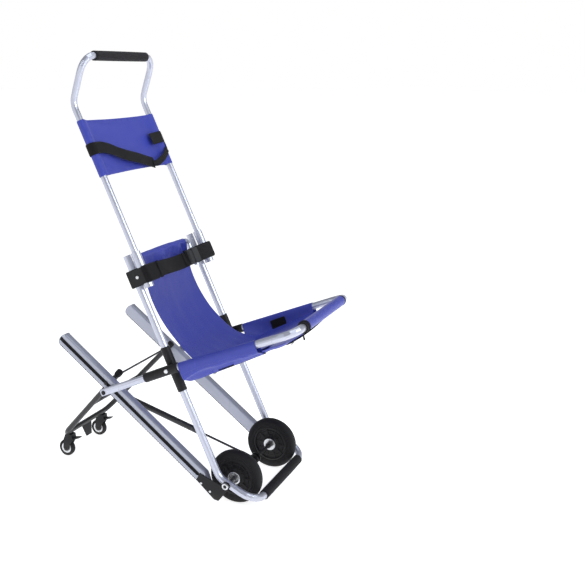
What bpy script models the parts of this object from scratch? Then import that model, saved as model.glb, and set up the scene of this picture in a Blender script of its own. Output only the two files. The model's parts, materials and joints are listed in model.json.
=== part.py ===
"""Folding evacuation stair chair, one solid for each piece.

Metres, +Z up, X across the chair, the occupant faces -Y. Most pieces are placed in the chair's
own leaning frame, measured from the wheel axle: "up" runs along the uprights and "back" runs
square behind them. "right" is the occupant's right hand, at -X.
"""
import math

import bmesh
import bpy
from mathutils import Matrix, Vector

# Overall layout
AXLE_Y = -0.24585             # the axle, measured from the middle of the footprint
WHEEL_RADIUS = 0.090
LEAN = math.radians(64.3)     # slope of the uprights above the floor
CLEARANCE = 0.0003            # between pieces that touch
RUNNING_GAP = 0.0006          # between pieces that turn or slide on each other
PAST = 0.004                  # how far a hole's cutter runs past the wall it cuts

# Main frame loop: uprights, lower bends and foot bar in one tube
FRAME_TUBE_RADIUS = 0.0125
UPRIGHT_X = 0.2165
UPRIGHT_BACK = 0.022
UPRIGHT_TOP = 0.800
FOOT_BAR_FORWARD = 0.099
FOOT_BAR_DROP = 0.045
FOOT_BAR_CORNER = 0.060
LOWER_BEND = 0.060
FOOT_GRIP_HALF = 0.155
GRIP_WALL = 0.003
PAD_WALL = 0.004              # handle grip foam and padded seat front

# Handle: telescopic upper loop
HANDLE_TUBE_RADIUS = 0.0110
HANDLE_BACK = -0.0135
HANDLE_BOTTOM = 0.690
HANDLE_KNEE_UP = 1.309
HANDLE_GRIP_UP = 1.4202
HANDLE_GRIP_BACK = -0.1175
HANDLE_KNEE_BEND = 0.060
HANDLE_CORNER = 0.052
HANDLE_GRIP_HALF = 0.162
GUIDE_WALL = 0.0040
GUIDE_BOTTOM = 0.680
HEAD_PANEL_BOTTOM = 1.059
HEAD_PANEL_TOP = 1.249
HEAD_PANEL_THICK = 0.008
PANEL_WALL = 0.0035
HEAD_STRAP_HALF = 0.2105
HEAD_STRAP_WIDTH = 0.040
HEAD_STRAP_UP = 1.152
HEAD_STRAP_FALL = 0.040
HEAD_STRAP_SAG = 0.040

# Clamp blocks and the bar that carries the back panel
BLOCK_BOTTOM = 0.694
BLOCK_TOP = 0.751
BLOCK_WALL = 0.0035
BLOCK_REAR_WALL = 0.0075
SCREW_RADIUS = 0.0022
SCREW_HEAD_RADIUS = 0.0060
SCREW_HEAD_HEIGHT = 0.0022
BACK_BAR_RADIUS = 0.0095
BACK_BAR_UP = 0.782
BACK_BAR_BACK = 0.020
BACK_BAR_X = 0.182
BACK_BAR_CORNER = 0.018
BACK_BAR_BOTTOM = 0.688

# Back panel, waist belt
BACK_PANEL_BOTTOM = 0.470
BACK_PANEL_HALF_TOP = 0.150
BACK_PANEL_HALF_WAIST = 0.158
BACK_PANEL_HALF_BOTTOM = 0.176
BACK_PANEL_SAG = 0.030
BACK_PANEL_FOOT = -0.002
CLOTH_THICK = 0.006
BELT_WIDTH = 0.052
BELT_THICK = 0.0022
BELT_UP = 0.722
BELT_SAG = 0.016
BUCKLE_X = 0.085
BUCKLE_LENGTH = 0.060
BUCKLE_HEIGHT = 0.058
BUCKLE_THICK = 0.013
BUCKLE_CHAMFER = 0.003

# Seat: U-shaped tube whose side tubes run back past the pivot as levers
SEAT_TUBE_RADIUS = 0.0125
SLEEVE_WALL = 0.0030
SLEEVE_GAP = 0.0009           # between the seat's sleeves and the upright's
SEAT_X = UPRIGHT_X + FRAME_TUBE_RADIUS + SEAT_TUBE_RADIUS + 2.0 * (CLEARANCE + SLEEVE_WALL) + SLEEVE_GAP
PIVOT_UP = 0.4135
SEAT_LENGTH = 0.459
SEAT_DROOP = math.radians(2.6)
LEVER_LENGTH = 0.283
LEVER_RISE = math.radians(0.3)
LEVER_TIP_HALF_WIDTH = 0.0045
LEVER_TIP_LENGTH = 0.055
SEAT_CORNER = 0.050
SEAT_PAD_HALF = 0.178
SEAT_STRAP_X = 0.158
SEAT_STRAP_WIDTH = 0.025
SEAT_STRAP_TAIL = 0.050
SEAT_PANEL_START = 0.045
SEAT_PANEL_END = 0.345
SEAT_PANEL_DROP = 0.014
SEAT_PANEL_SAG = 0.016
POUCH_THICK = 0.018
POUCH_HALF = 0.215
POUCH_INSET = 0.010
SEAT_SLEEVE_FRONT = 0.040
SEAT_SLEEVE_REAR = 0.092
PIVOT_SLEEVE_LOW = 0.3325
PIVOT_SLEEVE_HIGH = 0.4840
PIVOT_BOLT_RADIUS = 0.0040
BOLT_HEAD_RADIUS = 0.0070
BOLT_HEAD_HEIGHT = 0.0035

# Stair rails, hinged on the axle
RAIL_ANGLE = math.radians(27.86)
RAIL_OFFSET = 0.0463
RAIL_DEPTH = 0.045
RAIL_WIDTH = 0.028
RAIL_X = 0.2165
RAIL_TOP = 0.735
RAIL_FRONT_START = 0.080
RAIL_REAR_START = 0.012
RAIL_EDGE = 0.006
RAIL_SLOT_WIDTH = 0.0090
RAIL_SLOT_DEPTH = 0.0060
RAIL_BELT_THICK = 0.0030
LINER_THICK = 0.0045
BRACKET_THICK = 0.0034
BRACKET_BOSS = 0.0135
BRACKET_LENGTH = 0.090

# Caster frame, hinged on the rails
LEG_PIN_ALONG = 0.522
LEG_PIN_RADIUS = 0.0035
LEG_PIN_HEAD = 0.0075
LEG_PIN_HEAD_HEIGHT = 0.0040
LEG_TUBE_RADIUS = 0.0095
LEG_ANGLE = math.radians(112.1)
LEG_ABOVE_PIN = 0.0385
LEG_LENGTH = 0.395
LEG_TOP_X = 0.1810
LEG_KNEE_RUN = 0.368
LEG_KNEE_X = 0.1460
LEG_FOOT_X = 0.1280
CAP_LENGTH = 0.018
CAP_WALL = 0.0022
STRUT_BAR_RUN = 0.196
STRUT_BAR_RADIUS = 0.0080
TIE_ROD_RADIUS = 0.0035
TIE_ROD_RUN = 0.024
PEDAL_HALF = 0.030
PEDAL_TIP_HALF = 0.016
PEDAL_DROP = 0.044
PEDAL_THICK = 0.0040

# Casters
CASTER_X = 0.106
CASTER_RADIUS = 0.0310
CASTER_WIDTH = 0.0200
CASTER_TRAIL = 0.016
CASTER_PIN_RADIUS = 0.0035
FORK_CHEEK = 0.0026
FORK_STEM_RADIUS = 0.0050
FORK_STEM_DEPTH = 0.0090
BRAKE_LENGTH = 0.026
BRAKE_THICK = 0.0035

# Gas strut between the strut bar and the axle
STRUT_RADIUS = 0.0110
STRUT_BODY_LENGTH = 0.336
STRUT_ROD_RADIUS = 0.0040
STRUT_ROD_INSIDE = 0.070
STRUT_EYE_RADIUS = 0.0095
STRUT_EYE_HALF = 0.0045
STRUT_EYE_GAP = 0.0035
STRUT_PIN_RADIUS = 0.0030
STRUT_TIP = 0.0160
STRUT_CHEEK = 0.0026
FORK_OUTER = 0.0170
FORK_CORE = 0.0088
FORK_HALF = 0.0125
FORK_SLOT_HALF = 0.0062

# Axle and main wheels
AXLE_RADIUS = 0.0060
AXLE_NUT_RADIUS = 0.0110
AXLE_NUT_LENGTH = 0.0060
WHEEL_X = 0.151
TYRE_WIDTH = 0.038
RIM_RADIUS = 0.062
RIM_WIDTH = 0.030
HUB_RADIUS = 0.017
HUB_WIDTH = 0.041
COLLAR_RADIUS = 0.0100
COLLAR_LENGTH = 0.0140

TUBE_SEGMENTS = 14
SIDES = (("right", -1.0), ("left", 1.0))

for old in list(bpy.data.objects):
    bpy.data.objects.remove(old, do_unlink=True)


# Places

def at(x, up, back):
    """World point from the chair's leaning frame, whose origin is the axle."""
    y = AXLE_Y + up * math.cos(LEAN) + back * math.sin(LEAN)
    z = WHEEL_RADIUS + up * math.sin(LEAN) - back * math.cos(LEAN)
    return Vector((x, y, z))


def rail_at(x, along, off):
    """Point in the rails' frame: along the rail from the axle, and off behind that line."""
    up = along * math.cos(RAIL_ANGLE) - off * math.sin(RAIL_ANGLE)
    back = along * math.sin(RAIL_ANGLE) + off * math.cos(RAIL_ANGLE)
    return at(x, up, back)


def seat_at(x, forward, drop=0.0):
    """Point in the seat's frame: forward of the seat pivot, and drop below the side tubes."""
    slope = SEAT_DROOP if forward > 0.0 else -LEVER_RISE
    up = PIVOT_UP - abs(forward) * math.sin(slope) - drop * math.cos(slope)
    back = UPRIGHT_BACK - forward * math.cos(slope) + drop * math.sin(slope)
    return at(x, up, back)


LEG_PIN_UP = LEG_PIN_ALONG * math.cos(RAIL_ANGLE) - RAIL_OFFSET * math.sin(RAIL_ANGLE)
LEG_PIN_BACK = LEG_PIN_ALONG * math.sin(RAIL_ANGLE) + RAIL_OFFSET * math.cos(RAIL_ANGLE)


def leg_at(x, run, proud=0.0):
    """Point in the caster legs' frame: run down from the leg top, proud above the leg."""
    reach = run - LEG_ABOVE_PIN
    up = LEG_PIN_UP + reach * math.cos(LEG_ANGLE) + proud * math.sin(LEG_ANGLE)
    back = LEG_PIN_BACK + reach * math.sin(LEG_ANGLE) - proud * math.cos(LEG_ANGLE)
    return at(x, up, back)


def leg_x(run):
    """Half spacing of the two caster legs, which draw together towards the floor."""
    return LEG_TOP_X + (LEG_KNEE_X - LEG_TOP_X) * run / LEG_KNEE_RUN


AXLE = at(0.0, 0.0, 0.0)
PIVOT = at(0.0, PIVOT_UP, UPRIGHT_BACK)
LEG_PIN = rail_at(0.0, LEG_PIN_ALONG, RAIL_OFFSET)
STRUT_PIN = leg_at(0.0, STRUT_BAR_RUN, -STRUT_BAR_RADIUS - STRUT_EYE_RADIUS - STRUT_EYE_GAP)
STRUT_DIRECTION = (AXLE - STRUT_PIN).normalized()
FOOT = leg_at(0.0, LEG_LENGTH)
ACROSS = Vector((1.0, 0.0, 0.0))
UP = Vector((0.0, 0.0, 1.0))


# Bodies: an empty on each joint's axis carries the pieces that turn or slide there

def body(name, place, parent=None):
    """Empty at a joint; place is in the world at rest."""
    empty = bpy.data.objects.new(f"{name}_joint", None)
    bpy.context.scene.collection.objects.link(empty)
    empty.empty_display_size = 0.02
    empty.parent = parent
    empty.location = place - (Vector(parent["place"]) if parent else Vector())
    empty["place"] = list(place)
    return empty


# Meshes

def material(name, colour, roughness, metallic):
    shader = bpy.data.materials.get(name)
    if shader is None:
        shader = bpy.data.materials.new(name)
        shader.use_nodes = True
        surface = shader.node_tree.nodes["Principled BSDF"]
        surface.inputs["Base Color"].default_value = (*colour, 1.0)
        surface.inputs["Roughness"].default_value = roughness
        surface.inputs["Metallic"].default_value = metallic
    return shader


FINISHES = {
    "silver_tube": ((0.62, 0.65, 0.75), 0.35, 0.80),
    "black_tube": ((0.02, 0.02, 0.025), 0.45, 0.20),
    "black_plastic": ((0.025, 0.025, 0.03), 0.50, 0.00),
    "black_foam": ((0.03, 0.03, 0.03), 0.90, 0.00),
    "black_webbing": ((0.02, 0.02, 0.022), 0.85, 0.00),
    "black_rubber": ((0.02, 0.02, 0.02), 0.80, 0.00),
    "blue_cloth": ((0.05, 0.07, 0.42), 0.40, 0.00),
    "bright_steel": ((0.70, 0.70, 0.72), 0.25, 1.00),
}


def add(name, mesh, finish, carrier):
    """Names a bmesh built in world places and hangs it on the empty of its body."""
    bmesh.ops.recalc_face_normals(mesh, faces=mesh.faces)
    bmesh.ops.translate(mesh, verts=mesh.verts, vec=-Vector(carrier["place"]))
    data = bpy.data.meshes.new(name)
    mesh.to_mesh(data)
    mesh.free()
    data.shade_smooth()
    data.set_sharp_from_angle(angle=math.radians(35.0))
    data.materials.append(material(finish, *FINISHES[finish]))
    piece = bpy.data.objects.new(name, data)
    bpy.context.scene.collection.objects.link(piece)
    piece.parent = carrier
    return piece


def combine(piece, tools, operation):
    """Joins or cuts the piece with closed bmeshes built in world places."""
    for index, mesh in enumerate(tools):
        tool = add(f"{piece.name}_tool{index}", mesh, "black_plastic", piece.parent)
        tool.hide_render = True
        tool.display_type = "WIRE"
        change = piece.modifiers.new(operation.lower(), "BOOLEAN")
        change.operation = operation
        change.solver = "EXACT"
        change.object = tool


def rounded(points, bends, steps=5):
    """Polyline through the points, each inner corner replaced by an arc of its own radius."""
    line = [points[0]]
    for before, corner, after, bend in zip(points, points[1:], points[2:], bends):
        if bend == 0.0:
            line.append(corner)
            continue
        into = (before - corner).normalized()
        out = (after - corner).normalized()
        half = into.angle(out) / 2.0
        start = corner + into * bend / math.tan(half)
        centre = corner + (into + out).normalized() * bend / math.sin(half)
        spoke = start - centre
        normal = into.cross(out).normalized()
        sweep_angle = -(math.pi - 2.0 * half)
        for step in range(steps + 1):
            turn = Matrix.Rotation(sweep_angle * step / steps, 3, normal)
            line.append(centre + turn @ spoke)
    line.append(points[-1])
    return line


def frames(line):
    """Place, side and lift vectors at each point of a polyline."""
    tangents = [(b - a).normalized() for a, b in zip(line, line[1:])]
    side = tangents[0].orthogonal().normalized()
    for index, place in enumerate(line):
        incoming = tangents[max(index - 1, 0)]
        outgoing = tangents[min(index, len(tangents) - 1)]
        tangent = (incoming + outgoing).normalized()
        side = (side - tangent * side.dot(tangent)).normalized()
        yield place, side, tangent.cross(side)


def ring(mesh, place, side, lift, radius, segments):
    return [
        mesh.verts.new(place + radius * (side * math.cos(turn) + lift * math.sin(turn)))
        for turn in (2.0 * math.pi * step / segments for step in range(segments))
    ]


def bridge(mesh, first, second):
    count = len(first)
    for step in range(count):
        following = (step + 1) % count
        mesh.faces.new((first[step], first[following], second[following], second[step]))


def tube(points, radius, bends=(), bore=0.0, segments=TUBE_SEGMENTS, steps=5):
    """Round bar or open-ended tube along points with bent corners."""
    mesh = bmesh.new()
    line = rounded(points, bends, steps)
    stations = list(frames(line))
    outer = [ring(mesh, place, side, lift, radius, segments) for place, side, lift in stations]
    for first, second in zip(outer, outer[1:]):
        bridge(mesh, first, second)
    if bore > 0.0:
        clear = bore / math.cos(math.pi / segments)
        inner = [ring(mesh, place, side, lift, clear, segments) for place, side, lift in stations]
        for first, second in zip(inner, inner[1:]):
            bridge(mesh, second, first)
        bridge(mesh, inner[0], outer[0])
        bridge(mesh, outer[-1], inner[-1])
    else:
        mesh.faces.new(outer[0])
        mesh.faces.new(outer[-1])
    return mesh


def turned(profile, centre, axis, segments=24):
    """Solid of revolution; profile is (radius, distance along the axis) round a closed section."""
    mesh = bmesh.new()
    side = axis.orthogonal().normalized()
    lift = axis.cross(side)
    rings = []
    for radius, along in profile:
        place = centre + axis * along
        if radius > 0.0:
            rings.append(ring(mesh, place, side, lift, radius, segments))
        else:
            rings.append([mesh.verts.new(place)])
    closed = all(radius > 0.0 for radius, _ in profile)
    pairs = list(zip(rings, rings[1:]))
    if closed:
        pairs.append((rings[-1], rings[0]))
    for first, second in pairs:
        if len(first) == 1 or len(second) == 1:
            tip, rim = (first, second) if len(first) == 1 else (second, first)
            for step in range(segments):
                mesh.faces.new((tip[0], rim[step], rim[(step + 1) % segments]))
        else:
            bridge(mesh, first, second)
    return mesh


def rod(centre, axis, radius, start, end, segments=12):
    """Straight round bar from start to end along an axis."""
    return turned([(0.0, start), (radius, start), (radius, end), (0.0, end)], centre, axis, segments)


def washer(centre, axis, radius, bore, start, end, segments=20):
    profile = [(bore, start), (radius, start), (radius, end), (bore, end)]
    return turned(profile, centre, axis, segments)


def slab(outline, thickness, bevel=0.0):
    """Extrudes a flat outline of world points by a thickness vector."""
    mesh = bmesh.new()
    near = [mesh.verts.new(point) for point in outline]
    far = [mesh.verts.new(point + thickness) for point in outline]
    mesh.faces.new(near)
    mesh.faces.new(list(reversed(far)))
    bridge(mesh, near, far)
    if bevel > 0.0:
        bmesh.ops.bevel(mesh, geom=list(mesh.edges), offset=bevel, segments=2, affect="EDGES")
    return mesh


def block(low, high, bevel=0.0, place=at):
    """Box between two corners given in the chair's leaning frame."""
    corners = [(low[1], low[2]), (high[1], low[2]), (high[1], high[2]), (low[1], high[2])]
    outline = [place(low[0], up, back) for up, back in corners]
    return slab(outline, ACROSS * (high[0] - low[0]), bevel)


def sheet(columns, rows, surface, thickness):
    """Closed sheet; surface(u, v) gives the world point and the unit normal of its middle."""
    mesh = bmesh.new()
    grid = []
    for side in (0.5, -0.5):
        layer = []
        for row in range(rows + 1):
            line = []
            for column in range(columns + 1):
                place, normal = surface(column / columns, row / rows)
                line.append(mesh.verts.new(place + normal * thickness * side))
            layer.append(line)
        grid.append(layer)
    for layer in grid:
        for low, high in zip(layer, layer[1:]):
            for a, b, c, d in zip(low, low[1:], high[1:], high):
                mesh.faces.new((a, b, c, d))
    rims = []
    for layer in grid:
        right = [line[-1] for line in layer[1:-1]]
        left = [line[0] for line in layer[1:-1]]
        rims.append(layer[0] + right + list(reversed(layer[-1])) + list(reversed(left)))
    bridge(mesh, rims[0], rims[1])
    return mesh


def strap(points, width, thickness):
    """Flat strap: a ribbon of the given width vector along a line of world points."""
    mesh = bmesh.new()
    rings = []
    for index, point in enumerate(points):
        ahead = points[min(index + 1, len(points) - 1)] - points[max(index - 1, 0)]
        normal = ahead.cross(width).normalized() * thickness / 2.0
        edge = width / 2.0
        near = point - normal
        far = point + normal
        corners = (near - edge, near + edge, far + edge, far - edge)
        rings.append([mesh.verts.new(corner) for corner in corners])
    for first, second in zip(rings, rings[1:]):
        bridge(mesh, first, second)
    mesh.faces.new(rings[0])
    mesh.faces.new(rings[-1])
    return mesh


LEANING_UP = (at(0.0, 1.0, 0.0) - AXLE).normalized()
LEANING_BACK = (at(0.0, 0.0, 1.0) - AXLE).normalized()

# The fold in use: each body's joint place
frame = body("frame", AXLE)
handle = body("handle", at(0.0, HANDLE_BOTTOM, HANDLE_BACK), frame)
seat = body("seat", PIVOT, frame)
rails = body("rails", AXLE, frame)
caster_frame = body("caster_frame", LEG_PIN, rails)
strut_body = body("strut_body", STRUT_PIN, caster_frame)
strut_rod = body("strut_rod", STRUT_PIN + STRUT_DIRECTION * STRUT_BODY_LENGTH, strut_body)


# Frame loop, foot grip, axle

def frame_loop():
    run = Vector((0.0, -FOOT_BAR_FORWARD, -FOOT_BAR_DROP))
    upright = at(0.0, 0.0, UPRIGHT_BACK)
    # The lower run passes through the axle, so the bend lies where it meets the upright.
    across_run = ACROSS.cross(run).normalized()
    bend_up = (AXLE - upright).dot(across_run) / LEANING_UP.dot(across_run)
    points = []
    for side in (-1.0, 1.0):
        x = side * UPRIGHT_X
        leg = [
            at(x, UPRIGHT_TOP, UPRIGHT_BACK),
            at(x, bend_up, UPRIGHT_BACK),
            AXLE + run + ACROSS * x,
        ]
        points += leg if side < 0.0 else list(reversed(leg))
    bends = (LOWER_BEND, FOOT_BAR_CORNER, FOOT_BAR_CORNER, LOWER_BEND)
    loop = add("frame_loop", tube(points, FRAME_TUBE_RADIUS, bends), "silver_tube", frame)
    holes = []
    reach = FRAME_TUBE_RADIUS + PAST
    for _, side in SIDES:
        shift = ACROSS * side * UPRIGHT_X
        holes.append(rod(AXLE + shift, ACROSS, AXLE_RADIUS + CLEARANCE, -reach, reach))
        holes.append(rod(PIVOT + shift, ACROSS, PIVOT_BOLT_RADIUS + RUNNING_GAP, -reach, reach))
    combine(loop, holes, "DIFFERENCE")
    foot = AXLE + run
    grip = [foot - ACROSS * FOOT_GRIP_HALF, foot + ACROSS * FOOT_GRIP_HALF]
    bore = FRAME_TUBE_RADIUS + CLEARANCE
    add("foot_grip", tube(grip, bore + GRIP_WALL, bore=bore), "black_foam", frame)


def axle_pieces():
    end = RAIL_X + RAIL_WIDTH / 2.0 + BRACKET_THICK + 0.0012
    shoulder = WHEEL_X - HUB_WIDTH / 2.0 - RUNNING_GAP
    half_profile = [
        (AXLE_RADIUS, shoulder - COLLAR_LENGTH),
        (COLLAR_RADIUS, shoulder - COLLAR_LENGTH),
        (COLLAR_RADIUS, shoulder),
        (AXLE_RADIUS, shoulder),
        (AXLE_RADIUS, end),
        (0.0, end),
    ]
    profile = [(radius, -along) for radius, along in reversed(half_profile)] + half_profile
    add("wheel_axle", turned(profile, AXLE, ACROSS, 16), "bright_steel", frame)
    for name, side in SIDES:
        nut = rod(AXLE, ACROSS * side, AXLE_NUT_RADIUS, end + CLEARANCE, end + AXLE_NUT_LENGTH, 12)
        add(f"axle_nut_{name}", nut, "bright_steel", frame)
    fork = washer(AXLE, ACROSS, FORK_OUTER, AXLE_RADIUS + CLEARANCE, -FORK_HALF, FORK_HALF, 24)
    clevis = add("strut_clevis", fork, "black_plastic", frame)
    slot = washer(AXLE, ACROSS, FORK_OUTER * 2.0, FORK_CORE, -FORK_SLOT_HALF, FORK_SLOT_HALF, 24)
    combine(clevis, [slot], "DIFFERENCE")


def pivot_sleeves():
    for name, side in SIDES:
        x = side * UPRIGHT_X
        line = [at(x, PIVOT_SLEEVE_LOW, UPRIGHT_BACK), at(x, PIVOT_SLEEVE_HIGH, UPRIGHT_BACK)]
        bore = FRAME_TUBE_RADIUS + CLEARANCE
        mesh = tube(line, bore + SLEEVE_WALL, bore=bore)
        sleeve = add(f"pivot_sleeve_{name}", mesh, "black_plastic", frame)
        reach = bore + SLEEVE_WALL + PAST
        hole = rod(PIVOT + ACROSS * x, ACROSS, PIVOT_BOLT_RADIUS + RUNNING_GAP, -reach, reach)
        combine(sleeve, [hole], "DIFFERENCE")


# Guide tubes, clamp blocks, back bar

def clamp_blocks():
    guide_bore = HANDLE_TUBE_RADIUS + RUNNING_GAP
    guide_radius = guide_bore + GUIDE_WALL
    outer_x = UPRIGHT_X + FRAME_TUBE_RADIUS + BLOCK_WALL
    inner_x = BACK_BAR_X - BACK_BAR_RADIUS - BLOCK_WALL
    front = HANDLE_BACK - guide_radius - BLOCK_REAR_WALL
    rear = UPRIGHT_BACK + FRAME_TUBE_RADIUS + BLOCK_REAR_WALL
    for name, side in SIDES:
        x = side * UPRIGHT_X
        guide_line = [at(x, GUIDE_BOTTOM, HANDLE_BACK), at(x, UPRIGHT_TOP, HANDLE_BACK)]
        guide = tube(guide_line, guide_radius, bore=guide_bore)
        add(f"guide_tube_{name}", guide, "silver_tube", frame)
        low = (min(side * inner_x, side * outer_x), BLOCK_BOTTOM, front)
        high = (max(side * inner_x, side * outer_x), BLOCK_TOP, rear)
        clamp = add(f"clamp_block_{name}", block(low, high, 0.002), "black_plastic", frame)
        bores = []
        for across, back, radius in (
            (x, UPRIGHT_BACK, FRAME_TUBE_RADIUS),
            (x, HANDLE_BACK, guide_radius),
            (side * BACK_BAR_X, BACK_BAR_BACK, BACK_BAR_RADIUS),
        ):
            line = [at(across, BLOCK_BOTTOM - PAST, back), at(across, BLOCK_TOP + PAST, back)]
            bores.append(tube(line, radius + CLEARANCE))
        upright_front = UPRIGHT_BACK - FRAME_TUBE_RADIUS
        guide_rear = HANDLE_BACK + guide_radius
        web = (upright_front + guide_rear) / 2.0
        middle = at(0.0, (BLOCK_BOTTOM + BLOCK_TOP) / 2.0, web)
        outward = ACROSS * side
        shank_start = UPRIGHT_X - FRAME_TUBE_RADIUS
        hole_end = outer_x + PAST
        bores.append(rod(middle, outward, SCREW_RADIUS + CLEARANCE, shank_start - CLEARANCE, hole_end))
        combine(clamp, bores, "DIFFERENCE")
        profile = [
            (0.0, shank_start),
            (SCREW_RADIUS, shank_start),
            (SCREW_RADIUS, outer_x + CLEARANCE),
            (SCREW_HEAD_RADIUS, outer_x + CLEARANCE),
            (SCREW_HEAD_RADIUS * 0.8, outer_x + CLEARANCE + SCREW_HEAD_HEIGHT),
            (0.0, outer_x + CLEARANCE + SCREW_HEAD_HEIGHT),
        ]
        add(f"clamp_screw_{name}", turned(profile, middle, outward, 14), "bright_steel", frame)


def back_bar():
    points = [
        at(-BACK_BAR_X, BACK_BAR_BOTTOM, BACK_BAR_BACK),
        at(-BACK_BAR_X, BACK_BAR_UP, BACK_BAR_BACK),
        at(BACK_BAR_X, BACK_BAR_UP, BACK_BAR_BACK),
        at(BACK_BAR_X, BACK_BAR_BOTTOM, BACK_BAR_BACK),
    ]
    bends = (BACK_BAR_CORNER, BACK_BAR_CORNER)
    add("back_bar", tube(points, BACK_BAR_RADIUS, bends), "silver_tube", frame)


def back_panel():
    top = BACK_BAR_UP - BACK_BAR_RADIUS - CLOTH_THICK
    height = top - BACK_PANEL_BOTTOM
    straight = (BACK_PANEL_HALF_TOP + BACK_PANEL_HALF_BOTTOM) / 2.0

    def surface(across, down):
        waist = math.sin(math.pi * down)
        half = BACK_PANEL_HALF_TOP + (BACK_PANEL_HALF_BOTTOM - BACK_PANEL_HALF_TOP) * down
        half -= (straight - BACK_PANEL_HALF_WAIST) * waist
        x = (2.0 * across - 1.0) * half
        back = BACK_BAR_BACK + (BACK_PANEL_FOOT - BACK_BAR_BACK) * down + BACK_PANEL_SAG * waist
        return at(x, top - height * down, back), LEANING_BACK

    mesh = sheet(6, 10, surface, CLOTH_THICK)
    add("back_panel", mesh, "blue_cloth", frame)


def waist_belt():
    guide_front = HANDLE_BACK - HANDLE_TUBE_RADIUS - RUNNING_GAP - GUIDE_WALL - BLOCK_REAR_WALL
    face = guide_front - BELT_THICK / 2.0 - CLEARANCE
    free = BACK_BAR_X - BACK_BAR_RADIUS - BLOCK_WALL - PAST

    def belt_point(x):
        """The belt lies flat on the blocks and sags towards the back panel between them."""
        slack = math.cos(math.pi * min(abs(x), free) / (2.0 * free)) ** 2
        return at(x, BELT_UP, face + BELT_SAG * slack)

    width = LEANING_UP * BELT_WIDTH
    buckle_low = BUCKLE_X - BUCKLE_LENGTH / 2.0 - CLEARANCE
    buckle_high = BUCKLE_X + BUCKLE_LENGTH / 2.0 + CLEARANCE
    long_end = [belt_point(-UPRIGHT_X), belt_point(-free)]
    long_end += [belt_point(-free + (buckle_low + free) * step / 9.0) for step in range(1, 10)]
    short_end = [belt_point(buckle_high), belt_point(free), belt_point(UPRIGHT_X)]
    add("waist_belt_long", strap(long_end, width, BELT_THICK), "black_webbing", frame)
    add("waist_belt_short", strap(short_end, width, BELT_THICK), "black_webbing", frame)
    start = belt_point(buckle_low + CLEARANCE)
    end = belt_point(buckle_high - CLEARANCE)
    buckle = strap([start, end], LEANING_UP * BUCKLE_HEIGHT, BUCKLE_THICK)
    bmesh.ops.bevel(buckle, geom=list(buckle.edges), offset=BUCKLE_CHAMFER, segments=1, affect="EDGES")
    add("waist_buckle", buckle, "black_plastic", frame)


# Handle: loop, grip, head panel and strap

def handle_pieces():
    points = []
    for side in (-1.0, 1.0):
        x = side * UPRIGHT_X
        leg = [
            at(x, HANDLE_BOTTOM, HANDLE_BACK),
            at(x, HANDLE_KNEE_UP, HANDLE_BACK),
            at(x, HANDLE_GRIP_UP, HANDLE_GRIP_BACK),
        ]
        points += leg if side < 0.0 else list(reversed(leg))
    bends = (HANDLE_KNEE_BEND, HANDLE_CORNER, HANDLE_CORNER, HANDLE_KNEE_BEND)
    add("handle_loop", tube(points, HANDLE_TUBE_RADIUS, bends), "silver_tube", handle)
    grip_middle = at(0.0, HANDLE_GRIP_UP, HANDLE_GRIP_BACK)
    grip = [grip_middle - ACROSS * HANDLE_GRIP_HALF, grip_middle + ACROSS * HANDLE_GRIP_HALF]
    bore = HANDLE_TUBE_RADIUS + CLEARANCE
    add("handle_grip", tube(grip, bore + PAD_WALL, bore=bore), "black_foam", handle)


def head_panel():
    bore = HANDLE_TUBE_RADIUS + CLEARANCE
    half_thick = HEAD_PANEL_THICK / 2.0
    half_width = UPRIGHT_X - bore / 3.0
    low = (-half_width, HEAD_PANEL_BOTTOM, HANDLE_BACK - half_thick)
    high = (half_width, HEAD_PANEL_TOP, HANDLE_BACK + half_thick)
    panel = add("head_panel", block(low, high), "blue_cloth", handle)
    casings = []
    tubes = []
    for _, side in SIDES:
        x = side * UPRIGHT_X
        ends = [at(x, HEAD_PANEL_BOTTOM, HANDLE_BACK), at(x, HEAD_PANEL_TOP, HANDLE_BACK)]
        casings.append(tube(ends, bore + PANEL_WALL))
        cut = [at(x, HEAD_PANEL_BOTTOM - PAST, HANDLE_BACK), at(x, HEAD_PANEL_TOP + PAST, HANDLE_BACK)]
        tubes.append(tube(cut, bore))
    combine(panel, casings, "UNION")
    combine(panel, tubes, "DIFFERENCE")


def head_strap():
    """Webbing that slants over the head panel, from high on the right to low on the left."""
    front = HANDLE_BACK - HANDLE_TUBE_RADIUS - PANEL_WALL - BELT_THICK * 2.0
    points = []
    for step in range(13):
        share = step / 12.0
        x = HEAD_STRAP_HALF * (2.0 * share - 1.0)
        slack = math.sin(math.pi * share)
        up = HEAD_STRAP_UP - HEAD_STRAP_FALL * share - HEAD_STRAP_SAG * slack
        points.append(at(x, up, front))
    add("head_strap", strap(points, LEANING_UP * HEAD_STRAP_WIDTH, BELT_THICK), "black_webbing", handle)


# Seat: loop with lever tubes, sleeves, bolts, cloth

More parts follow.
